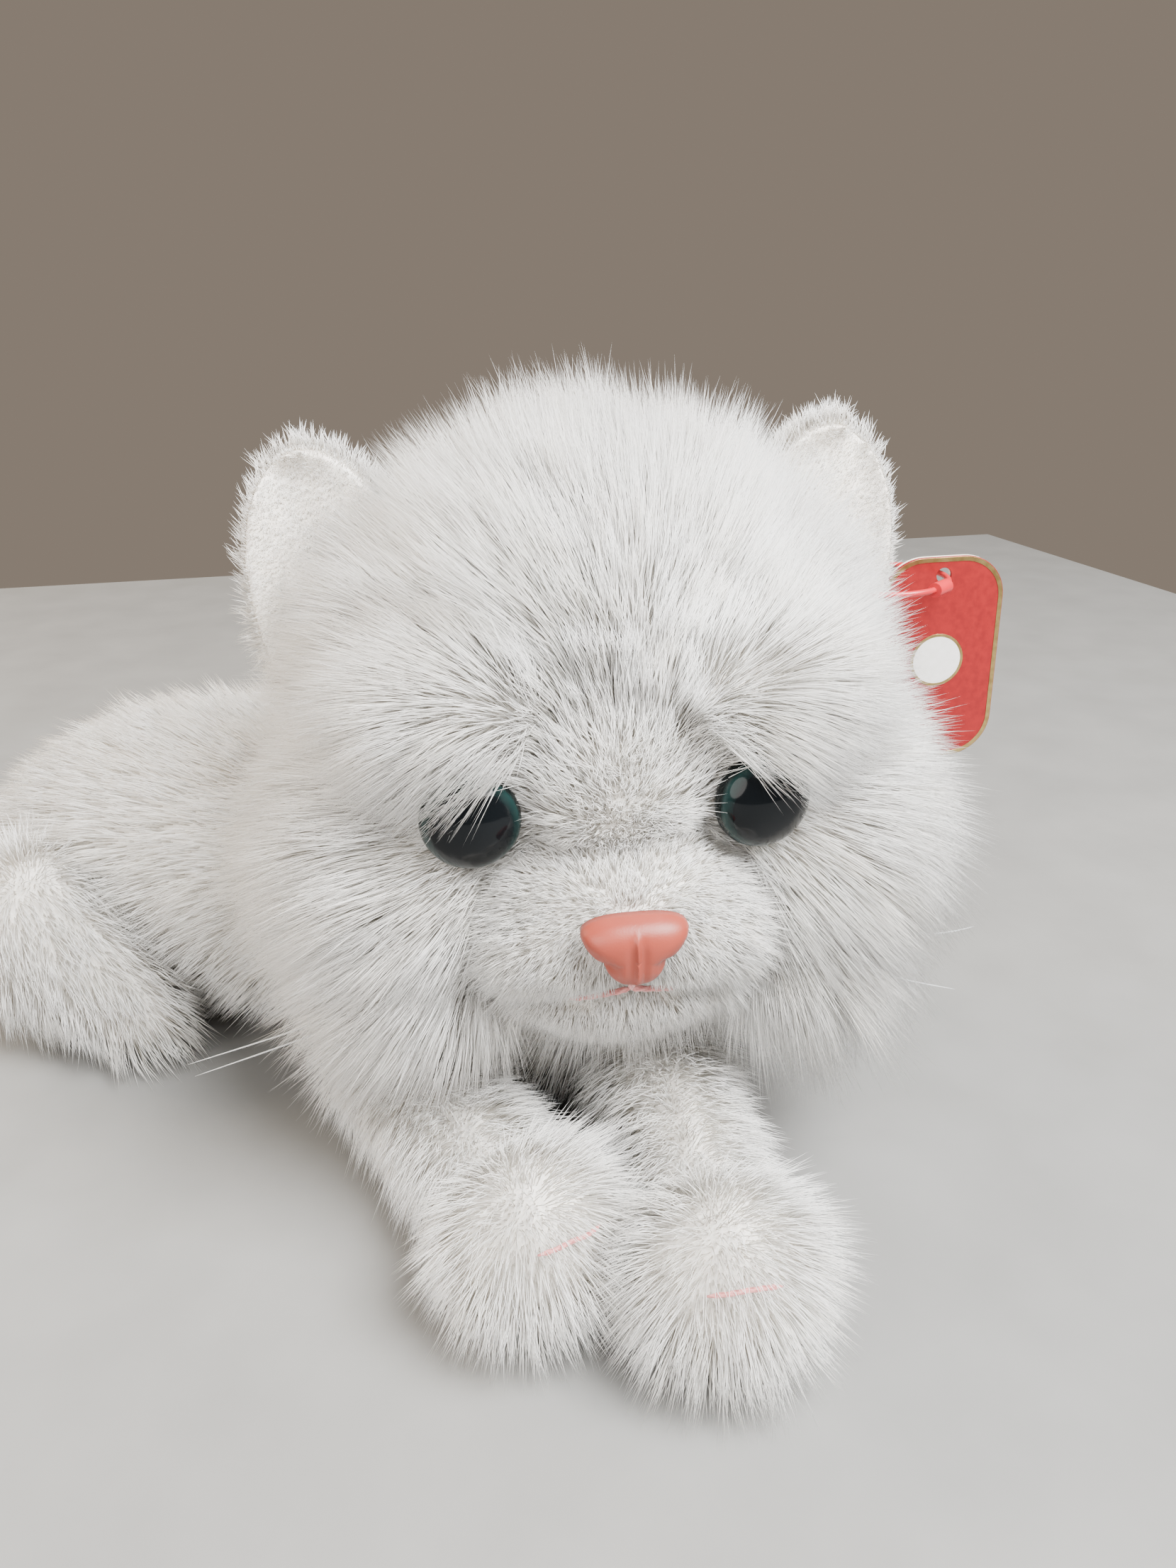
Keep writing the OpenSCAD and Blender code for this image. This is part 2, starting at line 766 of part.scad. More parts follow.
hind_seam_z = 0.72 * foot_d;
module hind_leg_left_upper() limb_panel(hind_leg_stations(left), true, hind_seam_z);
module hind_leg_left_sole() limb_panel(hind_leg_stations(left), false, hind_seam_z);
module hind_leg_left_filling() limb_filling(hind_leg_stations(left));
module hind_leg_right_upper() limb_panel(hind_leg_stations(right), true, hind_seam_z);
module hind_leg_right_sole() limb_panel(hind_leg_stations(right), false, hind_seam_z);
module hind_leg_right_filling() limb_filling(hind_leg_stations(right));
module tail_upper() limb_panel(tail_stations, true, tail_z);
module tail_under() limb_panel(tail_stations, false, tail_z);
module tail_filling() limb_filling(tail_stations);

// ---- Hang tag, on a loop through the foot of the left ear ----

loop_r = 15;
lock_turn = -50;                 // where on its loop the fastener locks, in degrees
tag_round = 0.34 * tag_w;
tag_drop = tag_h / 2 - 4;        // how far the middle of the tag is below its hole

module at_tag() {
    translate([head_half_w + 15, 0.2 * head_d, 0.22 * head_h]) children();
}
module loop(r, around, across) {
    at_tag() translate([-loop_r, 0, 0])
        rotate_extrude($fn = around) translate([loop_r, 0]) circle(r, $fn = across);
}
module tag_outline() {
    offset(tag_round) square([tag_w - 2 * tag_round, tag_h - 2 * tag_round], center = true);
}
module tag_leaf_at(back) {
    on_head() at_tag() rotate([90, 0, 0]) translate([0, 0, -back]) difference() {
        translate([0, -tag_drop, 0]) linear_extrude(tag_leaf) tag_outline();
        translate([0, 0, -far / 8]) cylinder(h = far / 4, d = tag_hole);
    }
}
module tag_front() {
    color([0.72, 0.07, 0.08]) tag_leaf_at(0);
}
module tag_back() {
    color([0.9, 0.88, 0.82]) tag_leaf_at(tag_leaf + seam);
}
module tag_fastener() {
    color([0.75, 0.1, 0.12]) on_head() {
        loop(string_d / 2, 64, 16);
        at_tag() translate([-loop_r, 0, 0]) rotate([0, 0, lock_turn])
            translate([loop_r, 0, 0]) rotate([90, 0, 0])
                cylinder(h = 4 * string_d, d = 2.4 * string_d, center = true);
    }
}

// ---- What is drawn ----

back_panel_left();
back_panel_right();
belly_panel();
torso_filling();
neck_ball();
crown_panel();
cheek_panel_left();
cheek_panel_right();
muzzle_panel();
chin_panel();
head_filling();
eye_left_lens();
eye_left_iris();
eye_left_post();
eye_left_washer();
eye_right_lens();
eye_right_iris();
eye_right_post();
eye_right_washer();
nose();
nose_washer();
mouth_stitch();
whiskers_left();
whiskers_right();
ear_left_back();
ear_left_lining();
ear_right_back();
ear_right_lining();
front_leg_left_upper();
front_leg_left_sole();
front_leg_left_filling();
paw_stitch_left();
front_leg_right_upper();
front_leg_right_sole();
front_leg_right_filling();
paw_stitch_right();
hind_leg_left_upper();
hind_leg_left_sole();
hind_leg_left_filling();
hind_leg_right_upper();
hind_leg_right_sole();
hind_leg_right_filling();
tail_upper();
tail_under();
tail_filling();
tag_front();
tag_back();
tag_fastener();
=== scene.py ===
# %% [markdown]
# # A long-haired plush cat
#
# The cat is sewn from white plush and stuffed. It lies on its belly with its head up. What makes it look like
# plush is the pile: tens of thousands of fine fibres, each with its own root in the cloth, combed one way on
# each panel and drawn together into small locks.
#
# So the work goes in this order: the cloth's surface, the way its pile is combed, the pile itself, and then
# the hard parts that look out through the pile: eyes, nose, stitches, whiskers and the card tag.

import json
import math

import bmesh
import bpy
import numpy as np
from mathutils import Matrix, Vector
from mathutils.bvhtree import BVHTree


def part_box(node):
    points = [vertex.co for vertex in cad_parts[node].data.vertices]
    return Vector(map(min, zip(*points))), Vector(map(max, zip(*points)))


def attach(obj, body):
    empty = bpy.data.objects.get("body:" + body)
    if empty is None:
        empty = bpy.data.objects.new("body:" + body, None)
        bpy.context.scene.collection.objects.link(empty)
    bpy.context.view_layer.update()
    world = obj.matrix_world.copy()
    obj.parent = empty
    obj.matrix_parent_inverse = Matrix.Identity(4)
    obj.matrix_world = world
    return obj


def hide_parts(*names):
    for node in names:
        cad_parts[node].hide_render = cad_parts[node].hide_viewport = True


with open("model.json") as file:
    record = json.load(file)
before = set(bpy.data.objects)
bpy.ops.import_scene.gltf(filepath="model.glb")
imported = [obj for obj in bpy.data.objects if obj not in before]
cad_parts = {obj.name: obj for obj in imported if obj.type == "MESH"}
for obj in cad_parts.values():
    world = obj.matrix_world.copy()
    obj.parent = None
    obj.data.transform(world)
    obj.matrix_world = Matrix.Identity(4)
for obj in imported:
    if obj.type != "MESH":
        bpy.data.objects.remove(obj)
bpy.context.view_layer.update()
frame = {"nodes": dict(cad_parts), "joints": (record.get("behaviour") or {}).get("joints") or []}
nodes = frame["nodes"]
joints = {joint["name"]: joint for joint in frame["joints"]}
print("nodes:", len(nodes), "joints:", len(joints))

# %% [markdown]
# ## Places
#
# Everything is measured from the frame. The head has a frame of its own: its origin is the middle of the head,
# and its three directions come from the two eyes. Sizes below are in millimetres, which suits a toy, and are
# turned into metres only when a mesh is made.

# %% Places of the joints, and the head's own frame
MM = 0.001


def middle(node):
    """The middle of a CAD node's box, in millimetres."""
    low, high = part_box(node)
    return np.array(low + high) / 2 / MM


def joint_place(name):
    return np.array(joints[name]["pos_m"]) / MM


def unit(v):
    return v / np.maximum(np.linalg.norm(v, axis=-1, keepdims=True), 1e-9)


EYE_BEHIND = 40.0  # the eyes are this far in front of the head's middle
EYE_ABOVE = 3.0

left_eye, right_eye = middle("eye_left_lens"), middle("eye_right_lens")
ACROSS = unit(left_eye - right_eye)
FORWARD = unit(np.array([ACROSS[1], -ACROSS[0], 0.0]))
UP = np.cross(ACROSS, -FORWARD)
HEAD = (left_eye + right_eye) / 2 - FORWARD * (EYE_BEHIND + 2) - UP * EYE_ABOVE
HEAD_AXES = np.array([ACROSS, FORWARD, UP])


def to_head(points):
    """Places in the cat's frame as (across, forward, up) from the head's middle."""
    return (points - HEAD) @ HEAD_AXES.T


def from_head(points):
    return np.asarray(points, float) @ HEAD_AXES + HEAD


NECK = joint_place("neck_turn")
SHOULDER = {"left": joint_place("front_leg_left_swing"), "right": joint_place("front_leg_right_swing")}
HIP = {"left": joint_place("hind_leg_left_swing"), "right": joint_place("hind_leg_right_swing")}
TAIL_ROOT = joint_place("tail_swing")
NOSE = to_head(middle("nose"))
print("head", HEAD.round(1), "nose", NOSE.round(1), "neck", NECK.round(1))

# %% [markdown]
# ## The cloth's surface
#
# A stuffed toy is a set of soft rounded lumps that run into each other. The quickest way to such a shape is to
# put simple closed forms where the lumps are, merge them with a voxel remesh, and smooth away the creases.
# Long shapes such as legs are tubes with round ends, and the rest are ellipsoids. The surface made here is the
# cloth itself, so it lies a few millimetres inside the CAD solids, which are drawn to the middle of the pile.

# %% Helpers for soft shapes


def ellipsoid(centre, radii, axes=None, rings=24, sides=36):
    """A closed ellipsoid as (vertices, faces)."""
    angles = [math.pi * (i + 1) / (rings + 1) for i in range(rings)]
    spins = np.linspace(0, 2 * math.pi, sides, endpoint=False)
    points = [np.array([[0, 0, 1.0]])]
    points += [
        np.stack([math.sin(a) * np.cos(spins), math.sin(a) * np.sin(spins), np.full(sides, math.cos(a))], 1)
        for a in angles
    ]
    points.append(np.array([[0, 0, -1.0]]))
    points = np.vstack(points) * np.array(radii)
    if axes is not None:
        points = points @ np.array(axes)
    last = len(points) - 1
    faces = [(0, 1 + k, 1 + (k + 1) % sides) for k in range(sides)]
    for i in range(rings - 1):
        row = 1 + i * sides
        faces += [
            (row + k, row + sides + k, row + sides + (k + 1) % sides, row + (k + 1) % sides) for k in range(sides)
        ]
    row = 1 + (rings - 1) * sides
    faces += [(last, row + (k + 1) % sides, row + k) for k in range(sides)]
    return points + np.array(centre), faces


def smooth_path(points, steps=6):
    """A Catmull-Rom curve through rows of numbers, which may carry radii after the place."""
    points = np.asarray(points, float)
    padded = np.vstack([2 * points[0] - points[1], points, 2 * points[-1] - points[-2]])
    rows = []
    for i in range(1, len(points)):
        p0, p1, p2, p3 = padded[i - 1 : i + 3]
        for t in np.arange(steps) / steps:
            rows.append(
                0.5
                * (
                    2 * p1
                    + (p2 - p0) * t
                    + (2 * p0 - 5 * p1 + 4 * p2 - p3) * t**2
                    + (3 * p1 - p0 - 3 * p2 + p3) * t**3
                )
            )
    rows.append(points[-1])
    return np.array(rows)


def tube(stations, sides=32, caps=5):
    """A closed tube along [x, y, z, half width, half height] stations, with round ends."""
    line = smooth_path(stations)
    places, widths, heights = line[:, :3], line[:, 3], line[:, 4]
    ahead = unit(np.gradient(places, axis=0))
    side = unit(np.cross(np.array([0, 0, 1.0]), ahead))
    up = np.cross(ahead, side)
    spins = np.linspace(0, 2 * math.pi, sides, endpoint=False)
    rings = []

    def ring(i, along, shrink):
        across = np.outer(np.cos(spins) * widths[i] * shrink, side[i])
        return places[i] + ahead[i] * along + across + np.outer(np.sin(spins) * heights[i] * shrink, up[i])

    bends = [math.pi / 2 * j / (caps + 1) for j in range(1, caps + 1)]
    deep = [min(widths[i], heights[i]) for i in (0, -1)]
    rings += [ring(0, -deep[0] * math.cos(a), math.sin(a)) for a in bends]
    rings += [ring(i, 0, 1) for i in range(len(line))]
    rings += [ring(-1, deep[1] * math.cos(a), math.sin(a)) for a in reversed(bends)]
    points = np.vstack([[places[0] - ahead[0] * deep[0]], *rings, [places[-1] + ahead[-1] * deep[1]]])
    last = len(points) - 1
    faces = [(0, 1 + (k + 1) % sides, 1 + k) for k in range(sides)]
    for i in range(len(rings) - 1):
        row = 1 + i * sides
        faces += [
            (row + k, row + (k + 1) % sides, row + sides + (k + 1) % sides, row + sides + k) for k in range(sides)
        ]
    row = 1 + (len(rings) - 1) * sides
    faces += [(last, row + k, row + (k + 1) % sides) for k in range(sides)]
    return points, faces


def make_object(name, points, faces, smooth=True):
    """A mesh object from points in millimetres."""
    mesh = bpy.data.meshes.new(name)
    mesh.from_pydata((np.asarray(points) * MM).tolist(), [], [tuple(int(i) for i in face) for face in faces])
    mesh.validate()
    tidy = bmesh.new()
    tidy.from_mesh(mesh)
    bmesh.ops.recalc_face_normals(tidy, faces=tidy.faces)
    tidy.to_mesh(mesh)
    tidy.free()
    mesh.shade_smooth() if smooth else mesh.shade_flat()
    made = bpy.data.objects.new(name, mesh)
    bpy.context.scene.collection.objects.link(made)
    return made


def bake_modifiers(made):
    """Turns an object's modifiers into plain mesh."""
    bpy.context.view_layer.update()
    depsgraph = bpy.context.evaluated_depsgraph_get()
    mesh = bpy.data.meshes.new_from_object(made.evaluated_get(depsgraph), depsgraph=depsgraph)
    made.modifiers.clear()
    old = made.data
    made.data = mesh
    bpy.data.meshes.remove(old)
    return made


def soft_shape(name, lumps, voxel=2.2, rounds=6, floor=None):
    """One smooth closed surface over a list of (vertices, faces) lumps."""
    points, faces, base = [], [], 0
    for lump_points, lump_faces in lumps:
        points.append(lump_points)
        faces += [tuple(i + base for i in face) for face in lump_faces]
        base += len(lump_points)
    made = make_object(name, np.vstack(points), faces)
    remesh = made.modifiers.new("merge", "REMESH")
    remesh.mode = "VOXEL"
    remesh.voxel_size = voxel * MM
    remesh.use_smooth_shade = True
    relax = made.modifiers.new("relax", "SMOOTH")
    relax.factor = 0.5
    relax.iterations = rounds
    bake_modifiers(made)
    if floor is not None:
        for vertex in made.data.vertices:
            vertex.co.z = max(vertex.co.z, floor * MM)
    print(name, "has", len(made.data.polygons), "faces")
    return made


def points_of(made):
    count = len(made.data.vertices)
    flat = np.empty(count * 3, np.float32)
    made.data.vertices.foreach_get("co", flat)
    places = flat.reshape(-1, 3).astype(float) / MM
    made.data.vertices.foreach_get("normal", flat)
    return places, flat.reshape(-1, 3).astype(float)


# %% [markdown]
# ## The head
#
# The head is wide at the cheeks and round on top, with a short muzzle. The cheeks are separate lumps, because on
# a long-haired cat they carry the face's width. Across, forward and up are measured from the head's middle.

# %% The head's surface


def head_lump(across, forward, up, radii, pitch=0.0, yaw=0.0):
    """An ellipsoid in the head's frame. pitch tips its front up, and yaw turns its front to the cat's left."""
    turn = Matrix.Rotation(math.radians(pitch), 3, "X") @ Matrix.Rotation(-math.radians(yaw), 3, "Z")
    axes = np.array(turn).T @ HEAD_AXES
    return ellipsoid(from_head([across, forward, up]), radii, axes)


head_lumps = [
    head_lump(0, -4, 6, (52, 42, 46)),  # skull
    head_lump(0, 2, 25, (35, 32, 32)),  # crown
    head_lump(0, 37, -17, (22, 15, 14)),  # muzzle
    head_lump(0, 31, -33, (21, 15, 11)),  # chin
    head_lump(0, 31, 3, (14, 13, 16)),  # bridge of the nose
    head_lump(0, -12, -14, (48, 34, 28)),  # jaw and nape
]
for side in (-1, 1):
    head_lumps += [
        head_lump(side * 35, 8, -14, (26, 29, 27)),  # cheek
        head_lump(side * 37, 18, -32, (15, 17, 14)),  # jowl
        head_lump(side * 25, 26.5, 19.5, (17, 13, 10.5)),  # brow
        head_lump(side * 10, 41, -20, (12, 11, 9)),  # lip pad
    ]
head_skin = soft_shape("head_skin", head_lumps, voxel=1.8, rounds=5)

# %% [markdown]
# ## Torso, neck, legs and tail
#
# The torso is a bent tube with its belly pressed flat by the floor. The legs and tail are tubes that end inside
# it, so that their pile grows out of the torso's pile without a gap.

# %% The body's surfaces
SPINE_TURN = math.radians(55)  # how far the torso lies away from the line of the face
SKIN_IN = 7.0  # the cloth is this far inside the CAD solids


def on_spine(t, beside=0.0):
    return np.array(
        [
            math.sin(SPINE_TURN) * t + math.cos(SPINE_TURN) * beside,
            -math.cos(SPINE_TURN) * t + math.sin(SPINE_TURN) * beside,
        ]
    )


def torso_station(t, z, half_width, half_height, beside=0.0):
    return [*on_spine(t, beside), z, half_width, half_height]


back_top = float(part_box("back_panel_left")[1].z) / MM
body_mid = back_top / 2 - 1
torso_stations = [
    torso_station(-84, body_mid - 7, 24, 24),
    torso_station(-60, body_mid - 2, 33, 32),
    torso_station(-25, body_mid, 36, 36),
    torso_station(10, body_mid, 35, 36),
    torso_station(36, body_mid - 5, 33, 33),
    [44, -44, 25, 27, 20],
]
torso_skin = soft_shape(
    "torso_skin",
    [tube(torso_stations), ellipsoid([38, -34, 42], (30, 28, 28))],
    voxel=2.6,
    rounds=6,
    floor=2.0,
)
neck_skin = soft_shape(
    "neck_skin", [ellipsoid(NECK + np.array([-2, -4, -2]), (30, 26, 26))], voxel=2.6, rounds=3
)


def paw_place(side):
    """Where a front leg ends: the middle of its paw."""
    low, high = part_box(f"front_leg_{side}_filling")
    box_low, box_high = np.array(low) / MM, np.array(high) / MM
    shoulder = SHOULDER[side]
    radius = (box_high[2] - box_low[2]) / 2
    low_is_further = abs(box_low[0] - shoulder[0]) > abs(box_high[0] - shoulder[0])
    away = box_low[0] + radius if low_is_further else box_high[0] - radius
    return np.array([away, box_low[1] + radius, shoulder[2]])


PAW = {side: paw_place(side) for side in ("left", "right")}
LEG_R = SHOULDER["left"][2] + 1 - SKIN_IN
leg_skins = {}
for side in ("left", "right"):
    start, end = SHOULDER[side], PAW[side]
    leg_skins[side] = soft_shape(
        f"front_leg_{side}_skin",
        [
            tube([[*start, LEG_R + 2, LEG_R + 2], [*(start + end) / 2, LEG_R, LEG_R], [*end, LEG_R, LEG_R]]),
            ellipsoid(end + unit(end - start) * 1.5 + np.array([0, 0, 0.6]), (LEG_R + 4.5, LEG_R + 4.5, LEG_R + 2.2)),
        ],
        voxel=1.6,
        rounds=4,
        floor=1.5,
    )

hind_skins = {}
for side in ("left", "right"):
    sign = 1 if side == "left" else -1
    toe = np.array([*on_spine(-38, sign * 43.5), 12.0])
    hip = HIP[side]
    hind_skins[side] = soft_shape(
        f"hind_leg_{side}_skin",
        [tube([[*hip, 21, 21], [*(0.45 * hip + 0.55 * toe)[:2], 19, 13.5, 14], [*toe, 7.5, 8]])],
        voxel=2.0,
        rounds=4,
        floor=1.5,
    )

TAIL_CURL = math.radians(130)
TAIL_CURL_R = 112 / TAIL_CURL
tail_line = []
for i in range(6):
    bend = TAIL_CURL * i / 5
    out, back = TAIL_CURL_R * (1 - math.cos(bend)), TAIL_CURL_R * math.sin(bend)
    x, y = TAIL_ROOT[:2] - on_spine(back) + on_spine(0, out)
    tail_line.append([x, y, TAIL_ROOT[2], 6, 6])
tail_skin = soft_shape("tail_skin", [tube(tail_line)], voxel=1.8, rounds=3, floor=1.5)
tail_path = smooth_path(tail_line)[:, :3]

# %% [markdown]
# ## The pile
#
# A fibre is a thin closed needle with a bend in it. One Geometry Nodes tree grows all of them: it scatters roots
# over the cloth, puts a straight needle on each root, makes the needles real, and then moves every vertex to its
# place along its own fibre's curve. The fibre starts along the cloth's normal, leans the way its panel is
# combed, and is drawn towards the nearest lock. The comb direction, the length and the density are attributes of
# the cloth, so each region of the cat can have its own pile with the same tree.

# %% The needle that every fibre starts as


def make_needle(name, bends, sides=3):
    """A closed needle one unit tall. The tree sets its width, and bends are the heights of its rings."""
    rings = [0.0, *bends]
    points = []
    for height in rings:
        for k in range(sides):
            angle = 2 * math.pi * k / sides
            points.append((math.cos(angle), math.sin(angle), height))
    points.append((0, 0, 1))
    tip = len(points) - 1
    faces = [tuple(reversed(range(sides)))]
    for i in range(len(rings) - 1):
        row = i * sides
        faces += [
            (row + k, row + (k + 1) % sides, row + sides + (k + 1) % sides, row + sides + k) for k in range(sides)
        ]
    row = (len(rings) - 1) * sides
    faces += [(row + k, row + (k + 1) % sides, tip) for k in range(sides)]
    mesh = bpy.data.meshes.new(name)
    mesh.from_pydata(points, [], faces)
    made = bpy.data.objects.new(name, mesh)
    bpy.context.scene.collection.objects.link(made)
    made.hide_render = True
    made.hide_viewport = False
    return made


fibre = make_needle("fibre", (0.5,))
print("triangles in a fibre:", sum(len(face.vertices) - 2 for face in fibre.data.polygons))

# %% Helpers for building node trees


class Tree:
    """A Geometry Nodes tree that is written as one call for each node."""

    def __init__(self, name):
        self.group = bpy.data.node_groups.new(name, "GeometryNodeTree")
        self.group.interface.new_socket("Geometry", in_out="INPUT", socket_type="NodeSocketGeometry")
        self.group.interface.new_socket("Geometry", in_out="OUTPUT", socket_type="NodeSocketGeometry")
        self.start = self.group.nodes.new("NodeGroupInput")
        self.end = self.group.nodes.new("NodeGroupOutput")

    def setting(self, name, kind, default=None):
        """A named input of the tree."""
        socket = self.group.interface.new_socket(name, in_out="INPUT", socket_type=kind)
        if default is not None:
            socket.default_value = default
        return self.start.outputs[name]

    def add(self, kind, inputs=None, **options):
        node = self.group.nodes.new(kind)
        for key, value in options.items():
            setattr(node, key, value)
        for key, value in (inputs or {}).items():
            socket = node.inputs[key]
            if isinstance(value, bpy.types.NodeSocket):
                self.group.links.new(value, socket)
            else:
                socket.default_value = value
        return node

    def math(self, operation, a, b=0.0, c=0.0):
        return self.add("ShaderNodeMath", {0: a, 1: b, 2: c}, operation=operation).outputs[0]

    def vector(self, operation, a, b=(0, 0, 0)):
        node = self.add("ShaderNodeVectorMath", {0: a, 1: b}, operation=operation)
        return node.outputs["Value"] if operation in ("LENGTH", "DOT_PRODUCT") else node.outputs["Vector"]

    def scale(self, a, by):
        return self.add("ShaderNodeVectorMath", {0: a, "Scale": by}, operation="SCALE").outputs["Vector"]

    def sum(self, *vectors):
        total = vectors[0]
        for other in vectors[1:]:
            total = self.vector("ADD", total, other)
        return total

    def named(self, name, kind="FLOAT"):
        node = self.add("GeometryNodeInputNamedAttribute", {"Name": name}, data_type=kind)
        return node.outputs["Attribute"]

    def store(self, geometry, name, value, kind="FLOAT", domain="POINT"):
        node = self.add(
            "GeometryNodeStoreNamedAttribute",
            {"Geometry": geometry, "Name": name, "Value": value},
            data_type=kind,
            domain=domain,
        )
        return node.outputs["Geometry"]


# %% The tree that grows the pile
def build_pile_tree():
    tree = Tree("plush_pile")
    needle = tree.setting("Needle", "NodeSocketObject")
    density = tree.setting("Fibres per m2", "NodeSocketFloat", 1.0e6)
    width = tree.setting("Fibre width", "NodeSocketFloat", 0.0002)
    lock_density = tree.setting("Locks per m2", "NodeSocketFloat", 6.0e4)
    lock_pull = tree.setting("Lock pull", "NodeSocketFloat", 0.5)
    frizz = tree.setting("Frizz", "NodeSocketFloat", 0.15)
    droop = tree.setting("Droop", "NodeSocketFloat", 0.1)
    floor = tree.setting("Floor", "NodeSocketFloat", 0.0005)
    finish = tree.setting("Finish", "NodeSocketMaterial")
    seed = tree.setting("Seed", "NodeSocketInt", 1)
    cloth = tree.start.outputs["Geometry"]

    thickness = tree.named("density")
    wanted = tree.math("MULTIPLY", density, thickness)
    roots = tree.add(
        "GeometryNodeDistributePointsOnFaces",
        {"Mesh": cloth, "Density": wanted, "Seed": seed},
        distribute_method="RANDOM",
    )
    lock_roots = tree.add(
        "GeometryNodeDistributePointsOnFaces",
        {"Mesh": cloth, "Density": lock_density, "Seed": tree.math("ADD", seed, 40.0)},
        distribute_method="RANDOM",
    )

    here = tree.add("GeometryNodeInputPosition").outputs["Position"]
    nearest = tree.add("GeometryNodeSampleNearest", {"Geometry": lock_roots.outputs["Points"]}, domain="POINT")
    lock_place = tree.add(
        "GeometryNodeSampleIndex",
        {"Geometry": lock_roots.outputs["Points"], "Value": here, "Index": nearest.outputs["Index"]},
        data_type="FLOAT_VECTOR",
        domain="POINT",
    ).outputs["Value"]

    def chance(low, high, offset, per_lock=False):
        """A random number, for each fibre or for each lock. Inputs 2 and 3 are the float limits."""
        node = tree.add("FunctionNodeRandomValue", {2: low, 3: high, "Seed": offset}, data_type="FLOAT")
        if per_lock:
            tree.group.links.new(nearest.outputs["Index"], node.inputs["ID"])
        return node.outputs[1]

    geometry = roots.outputs["Points"]
    for name, value, kind in (
        ("root", here, "FLOAT_VECTOR"),
        ("out", roots.outputs["Normal"], "FLOAT_VECTOR"),
        ("to_lock", tree.vector("SUBTRACT", lock_place, here), "FLOAT_VECTOR"),
        ("fibre_chance", chance(0.0, 1.0, 11), "FLOAT"),
        ("length_chance", chance(0.72, 1.12, 12), "FLOAT"),
        ("lock_length", chance(0.86, 1.14, 13, per_lock=True), "FLOAT"),
        ("lock_tone", chance(0.0, 1.0, 14, per_lock=True), "FLOAT"),
    ):
        geometry = tree.store(geometry, name, value, kind)
    for name, offset in (("frizz_x", 21), ("frizz_y", 22), ("frizz_z", 23)):
        geometry = tree.store(geometry, name, chance(-1.0, 1.0, offset), "FLOAT")
    for name, offset in (("sway_x", 31), ("sway_y", 32), ("sway_z", 33)):
        geometry = tree.store(geometry, name, chance(-1.0, 1.0, offset, per_lock=True), "FLOAT")

    prototype = tree.add("GeometryNodeObjectInfo", {"Object": needle, "As Instance": True})
    placed = tree.add(
        "GeometryNodeInstanceOnPoints", {"Points": geometry, "Instance": prototype.outputs["Geometry"]}
    ).outputs["Instances"]
    root_place = tree.add("GeometryNodeInputPosition").outputs["Position"]
    placed = tree.store(placed, "at", root_place, "FLOAT_VECTOR", "INSTANCE")
    real = tree.add("GeometryNodeRealizeInstances", {"Geometry": placed}).outputs["Geometry"]

    # After the needles are real, a vertex knows its place in the needle by its distance from the root.
    in_needle = tree.vector("SUBTRACT", here, tree.named("at", "FLOAT_VECTOR"))
    parts = tree.add("ShaderNodeSeparateXYZ", {0: in_needle})
    t = parts.outputs["Z"]
    real = tree.store(real, "along", t)
    t = tree.named("along")

    out = tree.vector("NORMALIZE", tree.named("out", "FLOAT_VECTOR"))
    comb = tree.named("comb", "FLOAT_VECTOR")
    lift = tree.named("lift")
    noise_parts = {i: tree.named(f"frizz_{axis}") for i, axis in enumerate("xyz")}
    noise = tree.add("ShaderNodeCombineXYZ", noise_parts)
    sway = tree.add("ShaderNodeCombineXYZ", {0: tree.named("sway_x"), 1: tree.named("sway_y"), 2: tree.named("sway_z")})
    lean = tree.sum(
        tree.scale(out, lift),
        comb,
        tree.scale(noise.outputs[0], frizz),
        tree.scale(sway.outputs[0], tree.math("MULTIPLY", frizz, 0.9)),
    )
    first = tree.vector("NORMALIZE", tree.sum(lean, tree.scale(out, 0.55)))
    second = tree.vector("NORMALIZE", tree.sum(lean, tree.scale(noise.outputs[0], tree.math("MULTIPLY", frizz, 0.7))))
    length = tree.math(
        "MULTIPLY",
        tree.named("pile"),
        tree.math("MULTIPLY", tree.named("length_chance"), tree.named("lock_length")),
    )
    length = tree.math("MULTIPLY", length, 0.001)
    squared = tree.math("MULTIPLY", t, t)
    early = tree.math("MULTIPLY", length, tree.math("SUBTRACT", t, tree.math("MULTIPLY", squared, 0.5)))
    late = tree.math("MULTIPLY", length, tree.math("MULTIPLY", squared, 0.5))
    path = tree.sum(tree.scale(first, early), tree.scale(second, late))
    pull = tree.math("MULTIPLY", lock_pull, tree.math("POWER", t, 1.4))
    path = tree.sum(path, tree.scale(tree.named("to_lock", "FLOAT_VECTOR"), pull))
    fall = tree.math("MULTIPLY", tree.math("MULTIPLY", squared, length), droop)
    path = tree.sum(path, tree.add("ShaderNodeCombineXYZ", {2: tree.math("MULTIPLY", fall, -1.0)}).outputs[0])

